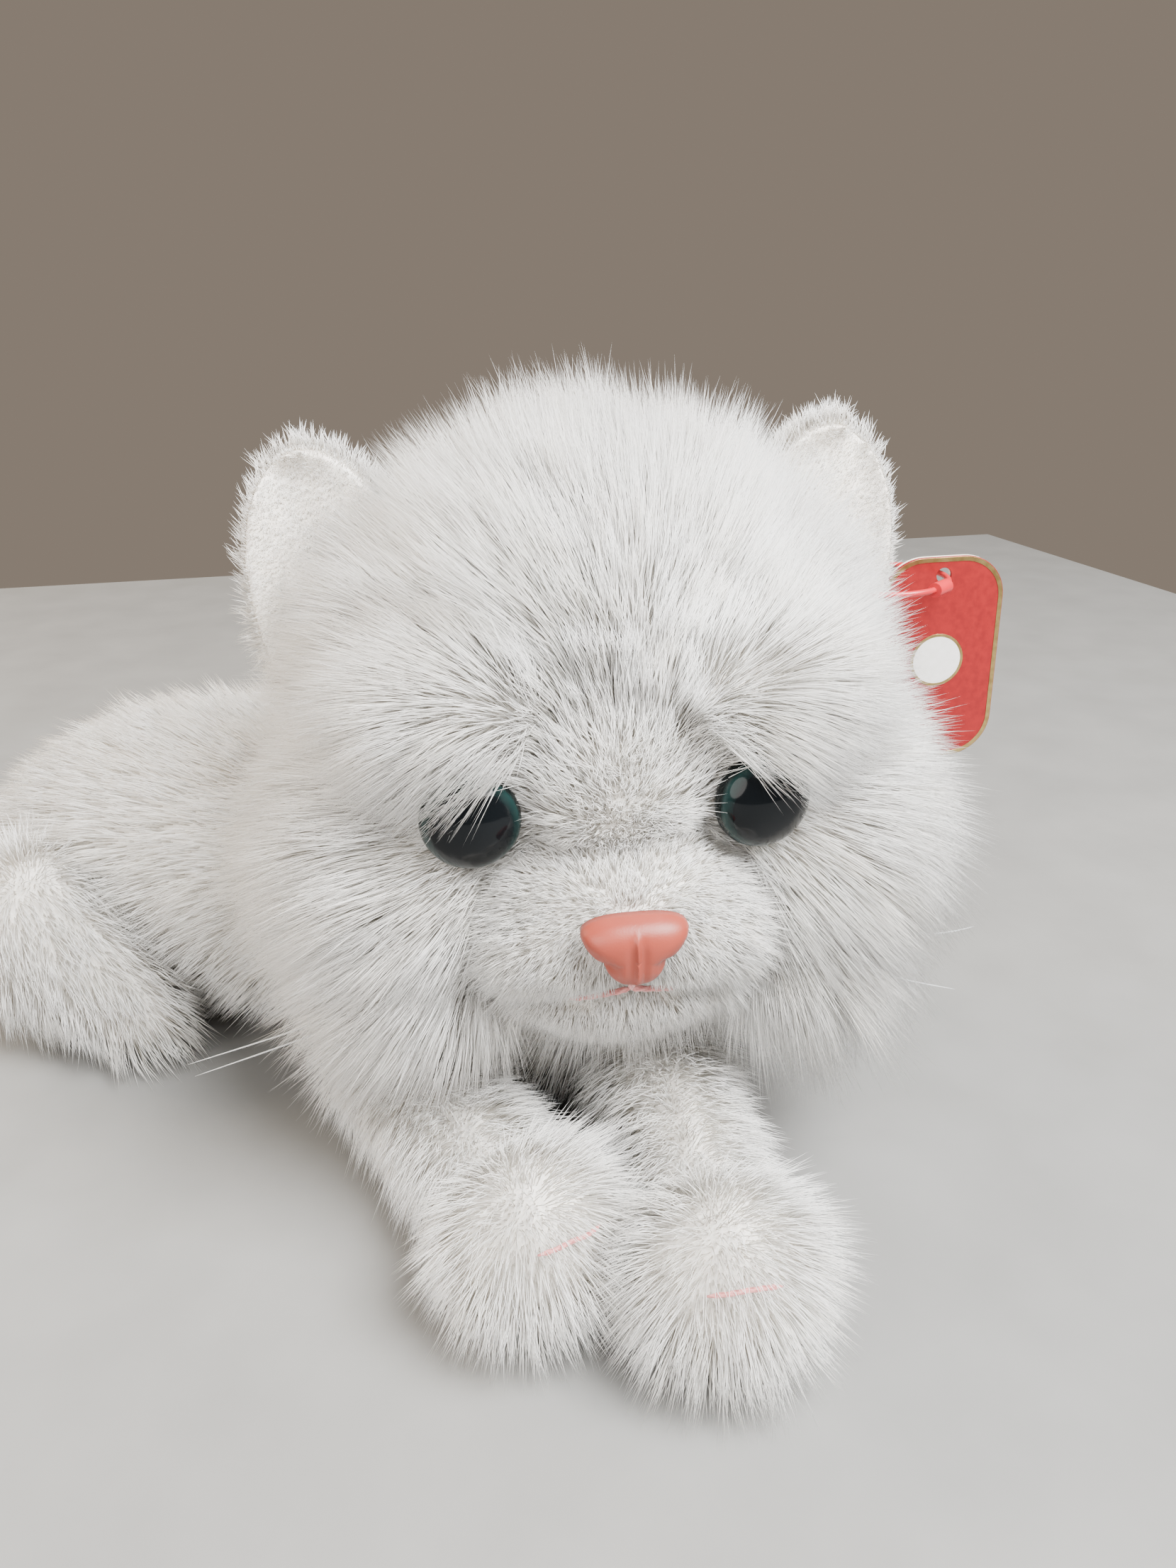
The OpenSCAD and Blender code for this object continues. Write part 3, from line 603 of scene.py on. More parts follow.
    # The needle's cross-section is laid square to the fibre and tapers to the tip.
    side = tree.vector("NORMALIZE", tree.vector("CROSS_PRODUCT", second, tree.sum(out, (0.013, 0.021, 0.017))))
    flat = tree.vector("CROSS_PRODUCT", side, second)
    taper = tree.math("SUBTRACT", 1.0, tree.math("MULTIPLY", squared, 0.75))
    taper = tree.math("MULTIPLY", taper, tree.math("MULTIPLY", width, 0.5))
    across = tree.sum(
        tree.scale(side, tree.math("MULTIPLY", parts.outputs["X"], taper)),
        tree.scale(flat, tree.math("MULTIPLY", parts.outputs["Y"], taper)),
    )
    place = tree.sum(tree.named("root", "FLOAT_VECTOR"), path, across)
    split = tree.add("ShaderNodeSeparateXYZ", {0: place})
    above = tree.math("MAXIMUM", split.outputs["Z"], floor)
    place = tree.add("ShaderNodeCombineXYZ", {0: split.outputs["X"], 1: split.outputs["Y"], 2: above})
    real = tree.add("GeometryNodeSetPosition", {"Geometry": real, "Position": place.outputs[0]}).outputs["Geometry"]
    real = tree.add("GeometryNodeSetShadeSmooth", {"Geometry": real, "Shade Smooth": True}).outputs["Geometry"]
    real = tree.add("GeometryNodeSetMaterial", {"Geometry": real, "Material": finish}).outputs["Geometry"]
    tree.group.links.new(real, tree.end.inputs["Geometry"])
    return tree.group


pile_tree = build_pile_tree()
print("the pile tree has", len(pile_tree.nodes), "nodes")

# %% [markdown]
# ## What the pile is made of
#
# Acrylic fibre is almost clear, and a thick pile of it looks white because light goes through many fibres. So the
# fibres are a very pale colour, with some locks warmer than others, a soft sheen, and light that passes through them.
# Each fibre is painted a little darker and warmer near the cloth and paler and cooler at its tip: painted shade for the
# depth of the pile.

# %% Finishes: a helper, then the pile and the cloth


def new_finish(name, **values):
    """A material with one Principled shader. values set its plain sockets."""
    finish = bpy.data.materials.new(name)
    finish.use_nodes = True
    shader = finish.node_tree.nodes["Principled BSDF"]
    for key, value in values.items():
        shader.inputs[key.replace("_", " ")].default_value = value
    return finish, finish.node_tree, shader


def node(tree, kind, inputs=None, **options):
    made = tree.nodes.new(kind)
    for key, value in options.items():
        setattr(made, key, value)
    for key, value in (inputs or {}).items():
        if isinstance(value, bpy.types.NodeSocket):
            tree.links.new(value, made.inputs[key])
        else:
            made.inputs[key].default_value = value
    return made


def ramp(tree, factor, stops):
    """A colour ramp: stops are (place, colour)."""
    made = node(tree, "ShaderNodeValToRGB", {"Fac": factor})
    elements = made.color_ramp.elements
    while len(elements) < len(stops):
        elements.new(0.5)
    for element, (place, colour) in zip(elements, stops):
        element.position = place
        element.color = (*colour, 1)
    return made.outputs["Color"]


def attribute(tree, name):
    return node(tree, "ShaderNodeAttribute", attribute_name=name).outputs["Fac"]


def mixed(tree, factor, a, b, blend="MIX"):
    made = node(tree, "ShaderNodeMix", data_type="RGBA", blend_type=blend)
    for socket, value in ((made.inputs["Factor"], factor), (made.inputs[6], a), (made.inputs[7], b)):
        if isinstance(value, bpy.types.NodeSocket):
            tree.links.new(value, socket)
        else:
            socket.default_value = value if isinstance(value, float) else (*value, 1)
    return made.outputs[2]


def make_pile_finish(name, root_shade_colour, body_colour, tip_colour):
    """Fibres: the colour changes from root to tip, darker and warmer at the root as painted shade, each lock has a tone
    of its own, and some light passes through.
    """
    finish, tree, shader = new_finish(
        name, Roughness=0.45, Sheen_Weight=0.2, Sheen_Roughness=0.4, Specular_IOR_Level=0.35
    )
    # Painted shade: the ramp darkens each fibre towards its root, where the pile is deep.
    colour = ramp(tree, attribute(tree, "along"), [(0.0, root_shade_colour), (0.4, body_colour), (1.0, tip_colour)])
    cream = mixed(tree, 0.10, colour, (0.90, 0.80, 0.62))
    tone = ramp(tree, attribute(tree, "lock_tone"), [(0.25, (0, 0, 0)), (0.9, (1, 1, 1))])
    toned = mixed(tree, tone, colour, cream)
    tree.links.new(toned, shader.inputs["Base Color"])
    through = node(tree, "ShaderNodeBsdfTranslucent", {"Color": toned})
    both = node(tree, "ShaderNodeMixShader", {"Fac": 0.38, 1: shader.outputs["BSDF"], 2: through.outputs["BSDF"]})
    tree.links.new(both.outputs["Shader"], tree.nodes["Material Output"].inputs["Surface"])
    return finish


# The first colour, at the root, is painted shade deep in the pile.
pile_finish = make_pile_finish("white_pile", (0.93, 0.90, 0.85), (0.96, 0.955, 0.94), (0.98, 0.98, 0.98))


def make_cloth_finish(name, colour, dark):
    """The knitted backing that the fibres grow from: fine rows of loops."""
    finish, tree, shader = new_finish(name, Roughness=0.9, Sheen_Weight=0.4)
    place = node(tree, "ShaderNodeTexCoord").outputs["Object"]
    grain = node(tree, "ShaderNodeTexNoise", {"Vector": place, "Scale": 900.0, "Detail": 3.0}).outputs["Fac"]
    loops = node(tree, "ShaderNodeTexVoronoi", {"Vector": place, "Scale": 1400.0}).outputs["Distance"]
    tree.links.new(ramp(tree, grain, [(0.3, dark), (0.7, colour)]), shader.inputs["Base Color"])
    bump = node(tree, "ShaderNodeBump", {"Height": loops, "Strength": 0.4, "Distance": 0.0004})
    tree.links.new(bump.outputs["Normal"], shader.inputs["Normal"])
    return finish


cloth_finish = make_cloth_finish("knitted_backing", (0.90, 0.88, 0.84), (0.84, 0.80, 0.74))

# %% [markdown]
# ## Where the thread is sewn
#
# The mouth and the toes are sewn with pink thread. A stitch pulls the cloth's pile down beside it, so its place has
# to be known before the pile grows.

# %% The stitches' places


def on_cloth(cloth, start, way, above):
    """The place where a line meets the cloth, and a little above it."""
    tree = BVHTree.FromObject(cloth, bpy.context.evaluated_depsgraph_get())
    place, normal, _, _ = tree.ray_cast(Vector(np.asarray(start) * MM), Vector(way))
    return np.array(place) / MM + np.array(normal) * above


MOUTH_TOP, MOUTH_FORK = NOSE[2] - 6.4, NOSE[2] - 11.5
mouth_lines = [
    [(0, MOUTH_TOP), (0.1, (MOUTH_TOP + MOUTH_FORK) / 2), (0, MOUTH_FORK)],
    [(0, MOUTH_FORK), (3.5, MOUTH_FORK - 1.5), (8.5, MOUTH_FORK - 2.4)],
    [(0, MOUTH_FORK), (-4.0, MOUTH_FORK - 2.0), (-10.0, MOUTH_FORK - 5.0)],
]
bpy.context.view_layer.update()
mouth_paths = [
    [on_cloth(head_skin, from_head([a, 90, u]), -FORWARD, 2.0) for a, u in line] for line in mouth_lines
]
paw_paths = {}
for side in ("left", "right"):
    leg_way = unit(PAW[side] - SHOULDER[side])
    beside = np.array([-leg_way[1], leg_way[0], 0.0])
    paw_paths[side] = [
        on_cloth(
            leg_skins[side],
            PAW[side] + beside * t + leg_way * 40 + np.array([0, 0, 7.5 - 0.02 * t * t]),
            -leg_way,
            4.0,
        )
        for t in (-5, -2.5, 0, 2.5, 5)
    ]


def near_path(points, paths):
    """How far each point is from the nearest of some paths, in millimetres."""
    spots = np.vstack([smooth_path(path, 6) for path in paths])
    return np.linalg.norm(points[:, None] - spots[None], axis=2).min(axis=1)


# %% [markdown]
# ## Combing the pile
#
# Each region of cloth gets four attributes: which way its fibres lean, how far they stand off, how long they are
# and how densely they grow. A comb direction is worked out from a place on the cloth, and then laid flat
# against it.

# %% A helper that grows one region's pile
fibre_total = 0


def set_attribute(mesh, name, values):
    vector = values.ndim == 2
    if name in mesh.attributes:
        mesh.attributes.remove(mesh.attributes[name])
    layer = mesh.attributes.new(name, "FLOAT_VECTOR" if vector else "FLOAT", "POINT")
    layer.data.foreach_set("vector" if vector else "value", values.astype(np.float32).ravel())


def laid_flat(direction, normals):
    """A direction with its part along the normal taken away."""
    return direction - normals * np.sum(direction * normals, axis=1, keepdims=True)


def grow_pile(
    name,
    cloth,
    comb,
    pile,
    density,
    fibres,
    body,
    lift=0.8,
    width=0.2,
    lock_size=4.2,
    lock_pull=0.38,
    frizz=0.15,
    droop=0.08,
    seed=1,
    finish=None,
    slot="long_pile",
):
    """Grows about this many fibres on a cloth, as one mesh. pile is in millimetres."""
    global fibre_total
    count = len(cloth.data.vertices)
    grown = bpy.data.objects.new(name, cloth.data.copy())
    bpy.context.scene.collection.objects.link(grown)
    density = np.broadcast_to(np.asarray(density, float), (count,)).clip(0, 1)
    for key, values in (
        ("comb", comb),
        ("pile", np.broadcast_to(np.asarray(pile, float), (count,))),
        ("lift", np.broadcast_to(np.asarray(lift, float), (count,))),
        ("density", density),
    ):
        set_attribute(grown.data, key, np.array(values))
    area = 0.0
    for face in grown.data.polygons:
        area += face.area * float(np.mean([density[i] for i in face.vertices]))
    modifier = grown.modifiers.new("pile", "NODES")
    modifier.node_group = pile_tree
    settings = {
        "Needle": fibre,
        "Fibres per m2": fibres / max(area, 1e-9),
        "Fibre width": width * MM,
        "Locks per m2": 1.0 / (lock_size * MM) ** 2,
        "Lock pull": lock_pull,
        "Frizz": frizz,
        "Droop": droop,
        "Finish": finish or pile_finish,
        "Seed": seed,
    }
    sockets = {item.name: item.identifier for item in pile_tree.interface.items_tree}
    for key, value in settings.items():
        modifier[sockets[key]] = value
    bake_modifiers(grown)
    for spare in ("root", "out", "to_lock", "frizz_x", "frizz_y", "frizz_z", "sway_x", "sway_y", "sway_z",
                  "comb", "pile", "lift", "density", "fibre_chance", "length_chance", "lock_length"):
        if spare in grown.data.attributes:
            grown.data.attributes.remove(grown.data.attributes[spare])
    triangles = sum(len(face.vertices) - 2 for face in grown.data.polygons)
    fibre_total += triangles
    print(f"{name}: {triangles} triangles")
    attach(grown, body)
    return grown


# %% [markdown]
# ### The head's pile
#
# The pile starts short round the nose and mouth and between the eyes, and is long everywhere else. From the
# bridge of the nose it fans out: up over the crown, outwards over the brows and cheeks, and down from the
# cheeks into two tufts beside the chin. A list of comb strokes gives the direction at some places, and between
# them each vertex takes a mix of the nearest strokes.

# %% The head's comb, length and regions
head_points, head_normals = points_of(head_skin)
head_local = to_head(head_points)
across, forward, up = head_local.T
def smooth_step(low, high, value):
    t = np.clip((value - low) / (high - low), 0, 1)
    return t * t * (3 - 2 * t)


def bump(value, centre, spread):
    return np.exp(-(((value - centre) / spread) ** 2))


# Strokes of the comb: where (across, forward, up), and which way. The crown is brushed a little to its right.
STROKES = np.array(
    [
        [(0, 44, -4), (0, -0.3, 0.9)],
        [(0, 36, 14), (-0.15, -0.4, 0.9)],
        [(0, 25, 35), (-0.3, -0.4, 0.85)],
        [(0, 5, 56), (-0.15, -0.5, 0.8)],
        [(0, -25, 45), (0, -0.9, 0.35)],
        [(-20, 30, 30), (-0.65, -0.3, 0.7)],
        [(-30, 12, 45), (-0.6, -0.3, 0.75)],
        [(-45, 8, 25), (-0.95, -0.2, 0.25)],
        [(-26, 38, 15), (-0.9, 0.3, -0.4)],
        [(-40, 28, 8), (-1, -0.2, -0.1)],
        [(-55, 5, 0), (-0.9, -0.4, -0.15)],
        [(-30, 38, -12), (-0.9, -0.1, -0.1)],
        [(-45, 25, -20), (-0.9, -0.2, -0.35)],
        [(-50, 10, -38), (-0.6, 0.1, -0.8)],
        [(-25, 30, -40), (-0.75, 0.15, -0.65)],
        [(20, 30, 30), (0.3, -0.3, 0.9)],
        [(28, 12, 45), (0.35, -0.3, 0.85)],
        [(45, 8, 25), (0.8, -0.3, 0.45)],
        [(26, 40, 15), (0.75, 0.35, -0.4)],
        [(42, 28, 8), (0.95, -0.1, -0.05)],
        [(56, 5, 0), (0.85, -0.3, -0.3)],
        [(30, 38, -14), (0.7, 0, -0.5)],
        [(45, 25, -22), (0.55, 0.1, -0.8)],
        [(48, 12, -40), (0.25, 0.15, -0.95)],
        [(28, 28, -42), (0.3, 0.1, -0.9)],
        [(0, 50, -26), (0, 0.3, -0.9)],
        [(-14, 46, -20), (-0.8, 0.1, -0.3)],
        [(14, 46, -20), (0.8, 0.1, -0.3)],
        [(0, 40, -42), (0, 0.3, -0.95)],
        [(-40, -30, 10), (-0.7, -0.6, -0.3)],
        [(40, -30, 10), (0.7, -0.6, -0.3)],
        [(0, -40, -10), (0, -0.9, -0.5)],
    ],
    float,
)
stroke_reach = 13.0
stroke_away = np.linalg.norm(head_local[:, None] - STROKES[None, :, 0], axis=2)
stroke_share = np.exp(-((stroke_away / stroke_reach) ** 2)) + 0.02 / (1 + (stroke_away / stroke_reach) ** 4)
head_comb = laid_flat(unit(stroke_share @ STROKES[:, 1]) @ HEAD_AXES, head_normals)
cheekness = smooth_step(12, 36, np.abs(across)) * smooth_step(16, -12, up)

# Short pile on the muzzle and the bridge of the nose
from_nose = np.sqrt((across / 18) ** 2 + ((up + 17) / 18) ** 2)
front = smooth_step(22, 36, forward)
bridge = bump(across, 0, 11) * smooth_step(26, 6, up) * front
shortness = np.maximum(front * smooth_step(1.55, 0.85, from_nose), bridge)
chinness = front * smooth_step(-24, -32, up) * smooth_step(26, 14, np.abs(across))
shortness = np.maximum(shortness, chinness)
pile_length = 17 + 4 * smooth_step(20, 45, up) + 5 * cheekness + 3 * smooth_step(-26, -40, up)
EAR_FOOT = [to_head(np.array(foot)) for foot in ((95.6, -52.1, 119.0), (0.2, -38.7, 115.7))]
for ear_foot_place in EAR_FOOT:
    pile_length += 5 * np.exp(-((np.linalg.norm(head_local - ear_foot_place, axis=1) / 16) ** 2))
head_pile = pile_length * (1 - shortness) + 4.2 * shortness

# No pile grows under the eyes and the nose
local_left, local_right = to_head(left_eye), to_head(right_eye)
nose_middle = np.array([0, 52.0, NOSE[2]])


def bald(centre, radius):
    away = np.linalg.norm(head_local - centre, axis=1)
    return smooth_step(radius * 0.85, radius * 1.1, away)


near_eye = np.minimum(
    np.linalg.norm(head_local - local_left, axis=1), np.linalg.norm(head_local - local_right, axis=1)
)
below_eye = smooth_step(4, -4, up - local_left[2])
head_pile *= 1 - 0.62 * below_eye * smooth_step(20, 11, near_eye)
head_pile *= 0.3 + 0.7 * smooth_step(2.0, 5.0, near_path(head_points, mouth_paths))
growing = bald(local_left, 8.6) * bald(local_right, 8.6) * bald(nose_middle, 4.4)

faceness = smooth_step(0.35, 0.75, shortness)
upper = smooth_step(2, 12, up) * (1 - faceness)
backness = smooth_step(-14, -24, forward)
lower = (1 - smooth_step(2, 12, up)) * (1 - faceness)

# %% The head's pile, region by region
SHARE = 1.0
head_regions = {
    "crown_left_pile": dict(density=upper * (1 - backness) * (across > 0), fibres=19000, lift=0.7, seed=3),
    "crown_right_pile": dict(density=upper * (1 - backness) * (across <= 0), fibres=19000, lift=0.7, seed=4),
    "cheek_left_pile": dict(density=lower * (1 - backness) * (across > 0), fibres=19000, lift=0.55, seed=5),
    "cheek_right_pile": dict(density=lower * (1 - backness) * (across <= 0), fibres=19000, lift=0.55, seed=7),
    "nape_pile": dict(density=backness * (1 - faceness), fibres=8500, lift=0.6, width=0.28, seed=9),
}
for name, region in head_regions.items():
    region["density"] = region["density"] * growing
    region["fibres"] = int(region["fibres"] * SHARE)
    grow_pile(name, head_skin, head_comb, head_pile, body="head", **region)
grow_pile(
    "muzzle_pile",
    head_skin,
    head_comb,
    head_pile,
    faceness * growing,
    int(17600 * SHARE),
    "head",
    lift=1.2,
    width=0.2,
    lock_size=2.2,
    lock_pull=0.3,
    frizz=0.35,
    seed=11,
    slot="short_pile",
)

# %% [markdown]
# ### The body's pile
#
# On the torso the pile lies back along the spine and hangs down the sides. On the legs it runs down to the paws,
# where it turns outwards in short tufts, and along the tail it runs to the tip.

# %% The body's combs
TAILWARD = np.array([-math.sin(SPINE_TURN), math.cos(SPINE_TURN), 0.0])
DOWN = np.array([0, 0, -1.0])


def combed(cloth, direction):
    """A direction for each vertex of the cloth, laid flat against it."""
    points, normals = points_of(cloth)
    wanted = direction(points) if callable(direction) else np.broadcast_to(direction, points.shape)
    return laid_flat(unit(wanted), normals)


def off_the_floor(cloth, low=5.0, high=12.0):
    """Less pile underneath, where the cat lies on it."""
    points, normals = points_of(cloth)
    return 0.12 + 0.88 * smooth_step(low, high, points[:, 2] + 3 * normals[:, 2])


torso_points, _ = points_of(torso_skin)
along_spine = torso_points @ -TAILWARD
front_half = smooth_step(-32, -28, along_spine)
torso_comb = combed(torso_skin, lambda p: TAILWARD + 0.55 * DOWN * smooth_step(70, 25, p[:, 2])[:, None])
torso_growth = off_the_floor(torso_skin)
for name, share, count, seed in (
    ("back_pile", front_half, 12500, 21),
    ("rump_pile", 1 - front_half, 9000, 23),
):
    grow_pile(name, torso_skin, torso_comb, 14.5, share * torso_growth, int(count * SHARE), "torso",
              lift=0.7, width=0.3, lock_size=6.0, seed=seed)


def from_neck(p):
    away = p - NECK - np.array([0, 0, 8.0])
    away[:, 2] -= 22
    return away


grow_pile("neck_pile", neck_skin, combed(neck_skin, from_neck), 13.0, 1.0, int(5000 * SHARE), "neck",
          lift=0.7, width=0.3, seed=25)

for side in ("left", "right"):
    cloth, shoulder, paw = leg_skins[side], SHOULDER[side], PAW[side]
    leg_way = unit(paw - shoulder)

    def to_paw(p, paw=paw, leg_way=leg_way):
        """Down the leg, then outwards round the paw."""
        away = p - paw
        ahead = smooth_step(-12, 4, away @ leg_way)[:, None]
        sideways = away - np.outer(away @ leg_way, leg_way)
        along_leg = leg_way + 0.03 * sideways + 0.35 * DOWN
        round_paw = unit(away + leg_way * 3) + 0.35 * DOWN
        return along_leg * (1 - ahead) + round_paw * ahead

    beside_stitch = near_path(points_of(cloth)[0], [paw_paths[side]])
    short_by_thread = 0.6 if side == "right" else 0.1
    leg_pile = 13.0 * (1 - short_by_thread * smooth_step(6.5, 2.5, beside_stitch))
    grow_pile(f"front_leg_{side}_pile", cloth, combed(cloth, to_paw), leg_pile, off_the_floor(cloth, 2.0, 5.0),
              int(11000 * SHARE), f"front_leg_{side}", lift=0.8, width=0.2, lock_size=3.4, droop=0.05,
              seed=31 if side == "left" else 33)
    cloth = hind_skins[side]
    sign = 1 if side == "left" else -1
    toe_way = np.array([*unit(on_spine(30, sign * 8)), -0.5])
    grow_pile(f"hind_leg_{side}_pile", cloth, combed(cloth, toe_way), 13.0, off_the_floor(cloth, 2.0, 6.0),
              int(5800 * SHARE), f"hind_leg_{side}", lift=0.75, width=0.28, lock_size=5.0,
              seed=35 if side == "left" else 37)


def along_tail(p):
    nearest = np.argmin(np.linalg.norm(p[:, None] - tail_path[None], axis=2), axis=1)
    ahead = unit(np.gradient(tail_path, axis=0))
    return ahead[nearest] + 0.2 * DOWN


grow_pile("tail_pile", tail_skin, combed(tail_skin, along_tail), 11.0, off_the_floor(tail_skin, 2.0, 5.0),
          int(5000 * SHARE), "tail", lift=0.8, width=0.28, seed=39)

# %% [markdown]
# ## Ears
#
# An ear is two layers: plush behind, with a rim of short pile, and a smooth velour lining in front. The lining's
# nap is a very short, dense pile over a softly mottled cloth. The head's own pile is longer round the foot of
# each ear, so the seam there is covered.

# %% The ears


def cad_copy(*node_names):
    """CAD nodes as one new mesh, in millimetres."""
    points, faces, base = [], [], 0
    for node_name in node_names:
        mesh = nodes[node_name].data
        points += [np.array(v.co) / MM for v in mesh.vertices]
        faces += [tuple(i + base for i in face.vertices) for face in mesh.polygons]
        base += len(mesh.vertices)
    return np.array(points), faces


def welded(points, faces):
    """Joins the corners that a CAD mesh keeps apart."""
    keys, index = np.unique(points.round(3), axis=0, return_inverse=True)
    index = index.ravel()
    kept = []
    for face in faces:
        corners = [int(index[i]) for i in face]
        corners = [c for i, c in enumerate(corners) if c != corners[i - 1]]
        if len(set(corners)) > 2:
            kept.append(tuple(corners))
    return keys, kept


velour_finish, velour_tree, velour_shader = new_finish(
    "ear_velour", Roughness=0.8, Sheen_Weight=0.6, Sheen_Roughness=0.35, Specular_IOR_Level=0.25
)
velour_place = node(velour_tree, "ShaderNodeTexCoord").outputs["Object"]
brushed = node(velour_tree, "ShaderNodeTexNoise", {"Vector": velour_place, "Scale": 160.0, "Detail": 5.0})
nap = node(velour_tree, "ShaderNodeTexNoise", {"Vector": velour_place, "Scale": 3200.0, "Detail": 2.0})
velour_tree.links.new(
    ramp(velour_tree, brushed.outputs["Fac"], [(0.3, (0.80, 0.74, 0.66)), (0.7, (0.90, 0.87, 0.82))]),
    velour_shader.inputs["Base Color"],
)
nap_bump = node(velour_tree, "ShaderNodeBump", {"Height": nap.outputs["Fac"], "Strength": 0.7, "Distance": 0.0003})
velour_tree.links.new(nap_bump.outputs["Normal"], velour_shader.inputs["Normal"])

ear_parts = {}
for side in ("left", "right"):
    lining_points, _ = welded(*cad_copy(f"ear_{side}_lining"))
    back_points, _ = welded(*cad_copy(f"ear_{side}_back"))
    facing = unit(lining_points.mean(axis=0) - back_points.mean(axis=0))
    ear = soft_shape(
        f"ear_{side}_cloth", [welded(*cad_copy(f"ear_{side}_back", f"ear_{side}_lining"))], 0.8, 8
    )
    points, normals = points_of(ear)
    outer = smooth_step(0.2, -0.35, normals @ facing)
    centre = points.mean(axis=0)
    sideways = 0.06 * (points - centre)
    comb = laid_flat(unit(np.array([0, 0, 1.0]) + sideways), normals)
    sign = 1 if side == "left" else -1
    grow_pile(f"ear_{side}_pile", ear, comb, 6.0, outer, int(4600 * SHARE), f"ear_{side}", lift=0.45,
              width=0.22, lock_size=3.0, frizz=0.2, seed=41 + sign)
    grow_pile(f"ear_{side}_nap", ear, comb, 1.6, 1 - outer, int(4200 * SHARE), f"ear_{side}", lift=1.0,
              width=0.16, lock_size=1.6, frizz=0.4, seed=45 + sign, slot="ear_velour")
    ear_parts[side] = ear

# %% [markdown]
# ## The hard parts
#
# The eyes are moulded plastic domes, black with a thin dark green rim. The nose is a coral plastic moulding: an
# upside-down rounded triangle with a line down its middle and a shallow hollow on each side for a nostril. Both
# are built in rings from the middle outwards, so that an outline or a height is one formula.

# %% Plastic finishes


def plastic(name, colour, roughness=0.3, speckle=0.03, grain=0.15, **values):
    """Moulded plastic with faint flow marks and a fine grain."""
    finish, tree, shader = new_finish(name, Roughness=roughness, **values)
    place = node(tree, "ShaderNodeTexCoord").outputs["Object"]
    flow = node(tree, "ShaderNodeTexNoise", {"Vector": place, "Scale": 220.0, "Detail": 4.0}).outputs["Fac"]
    dark = tuple(max(0.0, c * (1 - speckle * 3)) for c in colour)
    tree.links.new(ramp(tree, flow, [(0.3, dark), (0.7, colour)]), shader.inputs["Base Color"])
    rough = node(
        tree, "ShaderNodeMapRange", {"Value": flow, "To Min": roughness * 0.85, "To Max": roughness * 1.2}
    ).outputs["Result"]
    tree.links.new(rough, shader.inputs["Roughness"])
    fine = node(tree, "ShaderNodeTexNoise", {"Vector": place, "Scale": 2600.0, "Detail": 2.0}).outputs["Fac"]
    bump = node(tree, "ShaderNodeBump", {"Height": fine, "Strength": grain, "Distance": 0.0001})
    tree.links.new(bump.outputs["Normal"], shader.inputs["Normal"])
    return finish


coral = plastic("coral_plastic", (0.29, 0.05, 0.03), 0.42, 0.03, 0.25, Specular_IOR_Level=0.4)
clear_thread = plastic("whisker_plastic", (0.85, 0.87, 0.88), 0.25, 0.02, 0.05, Transmission_Weight=0.6)
red_plastic = plastic("red_plastic", (0.55, 0.02, 0.03), 0.3, 0.05, 0.1)

eye_finish, eye_tree, eye_shader = new_finish(
    "eye_plastic", Roughness=0.12, Coat_Weight=0.12, Coat_Roughness=0.03, Specular_IOR_Level=0.12
)
rim_way = attribute(eye_tree, "from_middle")
streak_place = node(eye_tree, "ShaderNodeTexCoord").outputs["Object"]
streaks = node(eye_tree, "ShaderNodeTexNoise", {"Vector": streak_place, "Scale": 420.0, "Detail": 6.0})
rim_wobble = node(
    eye_tree, "ShaderNodeMath", {0: streaks.outputs["Fac"], 1: 0.06, 2: rim_way}, operation="MULTIPLY_ADD"
).outputs[0]
eye_tree.links.new(
    ramp(
        eye_tree,
        rim_wobble,
        [
            (0.0, (0.003, 0.004, 0.005)),
            (0.80, (0.003, 0.004, 0.005)),
            (0.88, (0.005, 0.014, 0.014)),
            (0.96, (0.008, 0.024, 0.023)),
            (1.0, (0.004, 0.006, 0.006)),
        ],
    ),
    eye_shader.inputs["Base Color"],
)

# %% The eyes


def eye_axes(side):
    """The way an eye looks, worked out from the two layers of it."""
    front, back = middle(f"eye_{side}_lens"), middle(f"eye_{side}_post")
    look = unit(front - back)
    right = unit(np.cross(look, np.array([0, 0, 1.0])))
    return np.array([right, np.cross(right, look), look])


def dome(radius, height, rings=28, sides=72, edge=1.6):
    """A closed dome whose edge curves under, as (vertices, faces, how far from the middle)."""
    rows = []
    for i in range(1, rings + 1):
        bend = math.pi / 2 * i / rings
        rows.append((radius * math.sin(bend), height * math.cos(bend)))
    rows += [(radius - 0.12, -0.45), (radius - 0.5, -edge)]
    spins = np.linspace(0, 2 * math.pi, sides, endpoint=False)
    points = [np.array([[0, 0, height]])]
    points += [np.stack([r * np.cos(spins), r * np.sin(spins), np.full(sides, z)], 1) for r, z in rows]
    points.append(np.array([[0, 0, -edge]]))
    away = [0.0] + [r / radius for r, _ in rows for _ in range(sides)] + [0.0]
    last = 1 + len(rows) * sides
    faces = [(0, 1 + k, 1 + (k + 1) % sides) for k in range(sides)]
    for i in range(len(rows) - 1):
        row = 1 + i * sides
        faces += [
            (row + k, row + sides + k, row + sides + (k + 1) % sides, row + (k + 1) % sides) for k in range(sides)
        ]
    row = 1 + (len(rows) - 1) * sides
    faces += [(last, row + (k + 1) % sides, row + k) for k in range(sides)]
    return np.vstack(points), faces, np.array(away)


for side in ("left", "right"):
    axes = eye_axes(side)
    low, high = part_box(f"eye_{side}_lens")
    radius = (high.z - low.z) / 2 / MM
    lens_middle = middle(f"eye_{side}_lens")
    base = lens_middle - axes[2] * 2.6
    points, faces, away = dome(radius, 5.6)
    eye = make_object(f"eye_{side}", points @ axes + base, faces)
    set_attribute(eye.data, "from_middle", away)
    eye.data.materials.append(eye_finish)
    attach(eye, "head")
    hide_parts(f"eye_{side}_lens", f"eye_{side}_iris")
    print("eye", side, "radius", round(radius, 2), "looks", axes[2].round(2))

# %% The nose
NOSE_PLATE = 56.2  # how far forward the back of the nose is


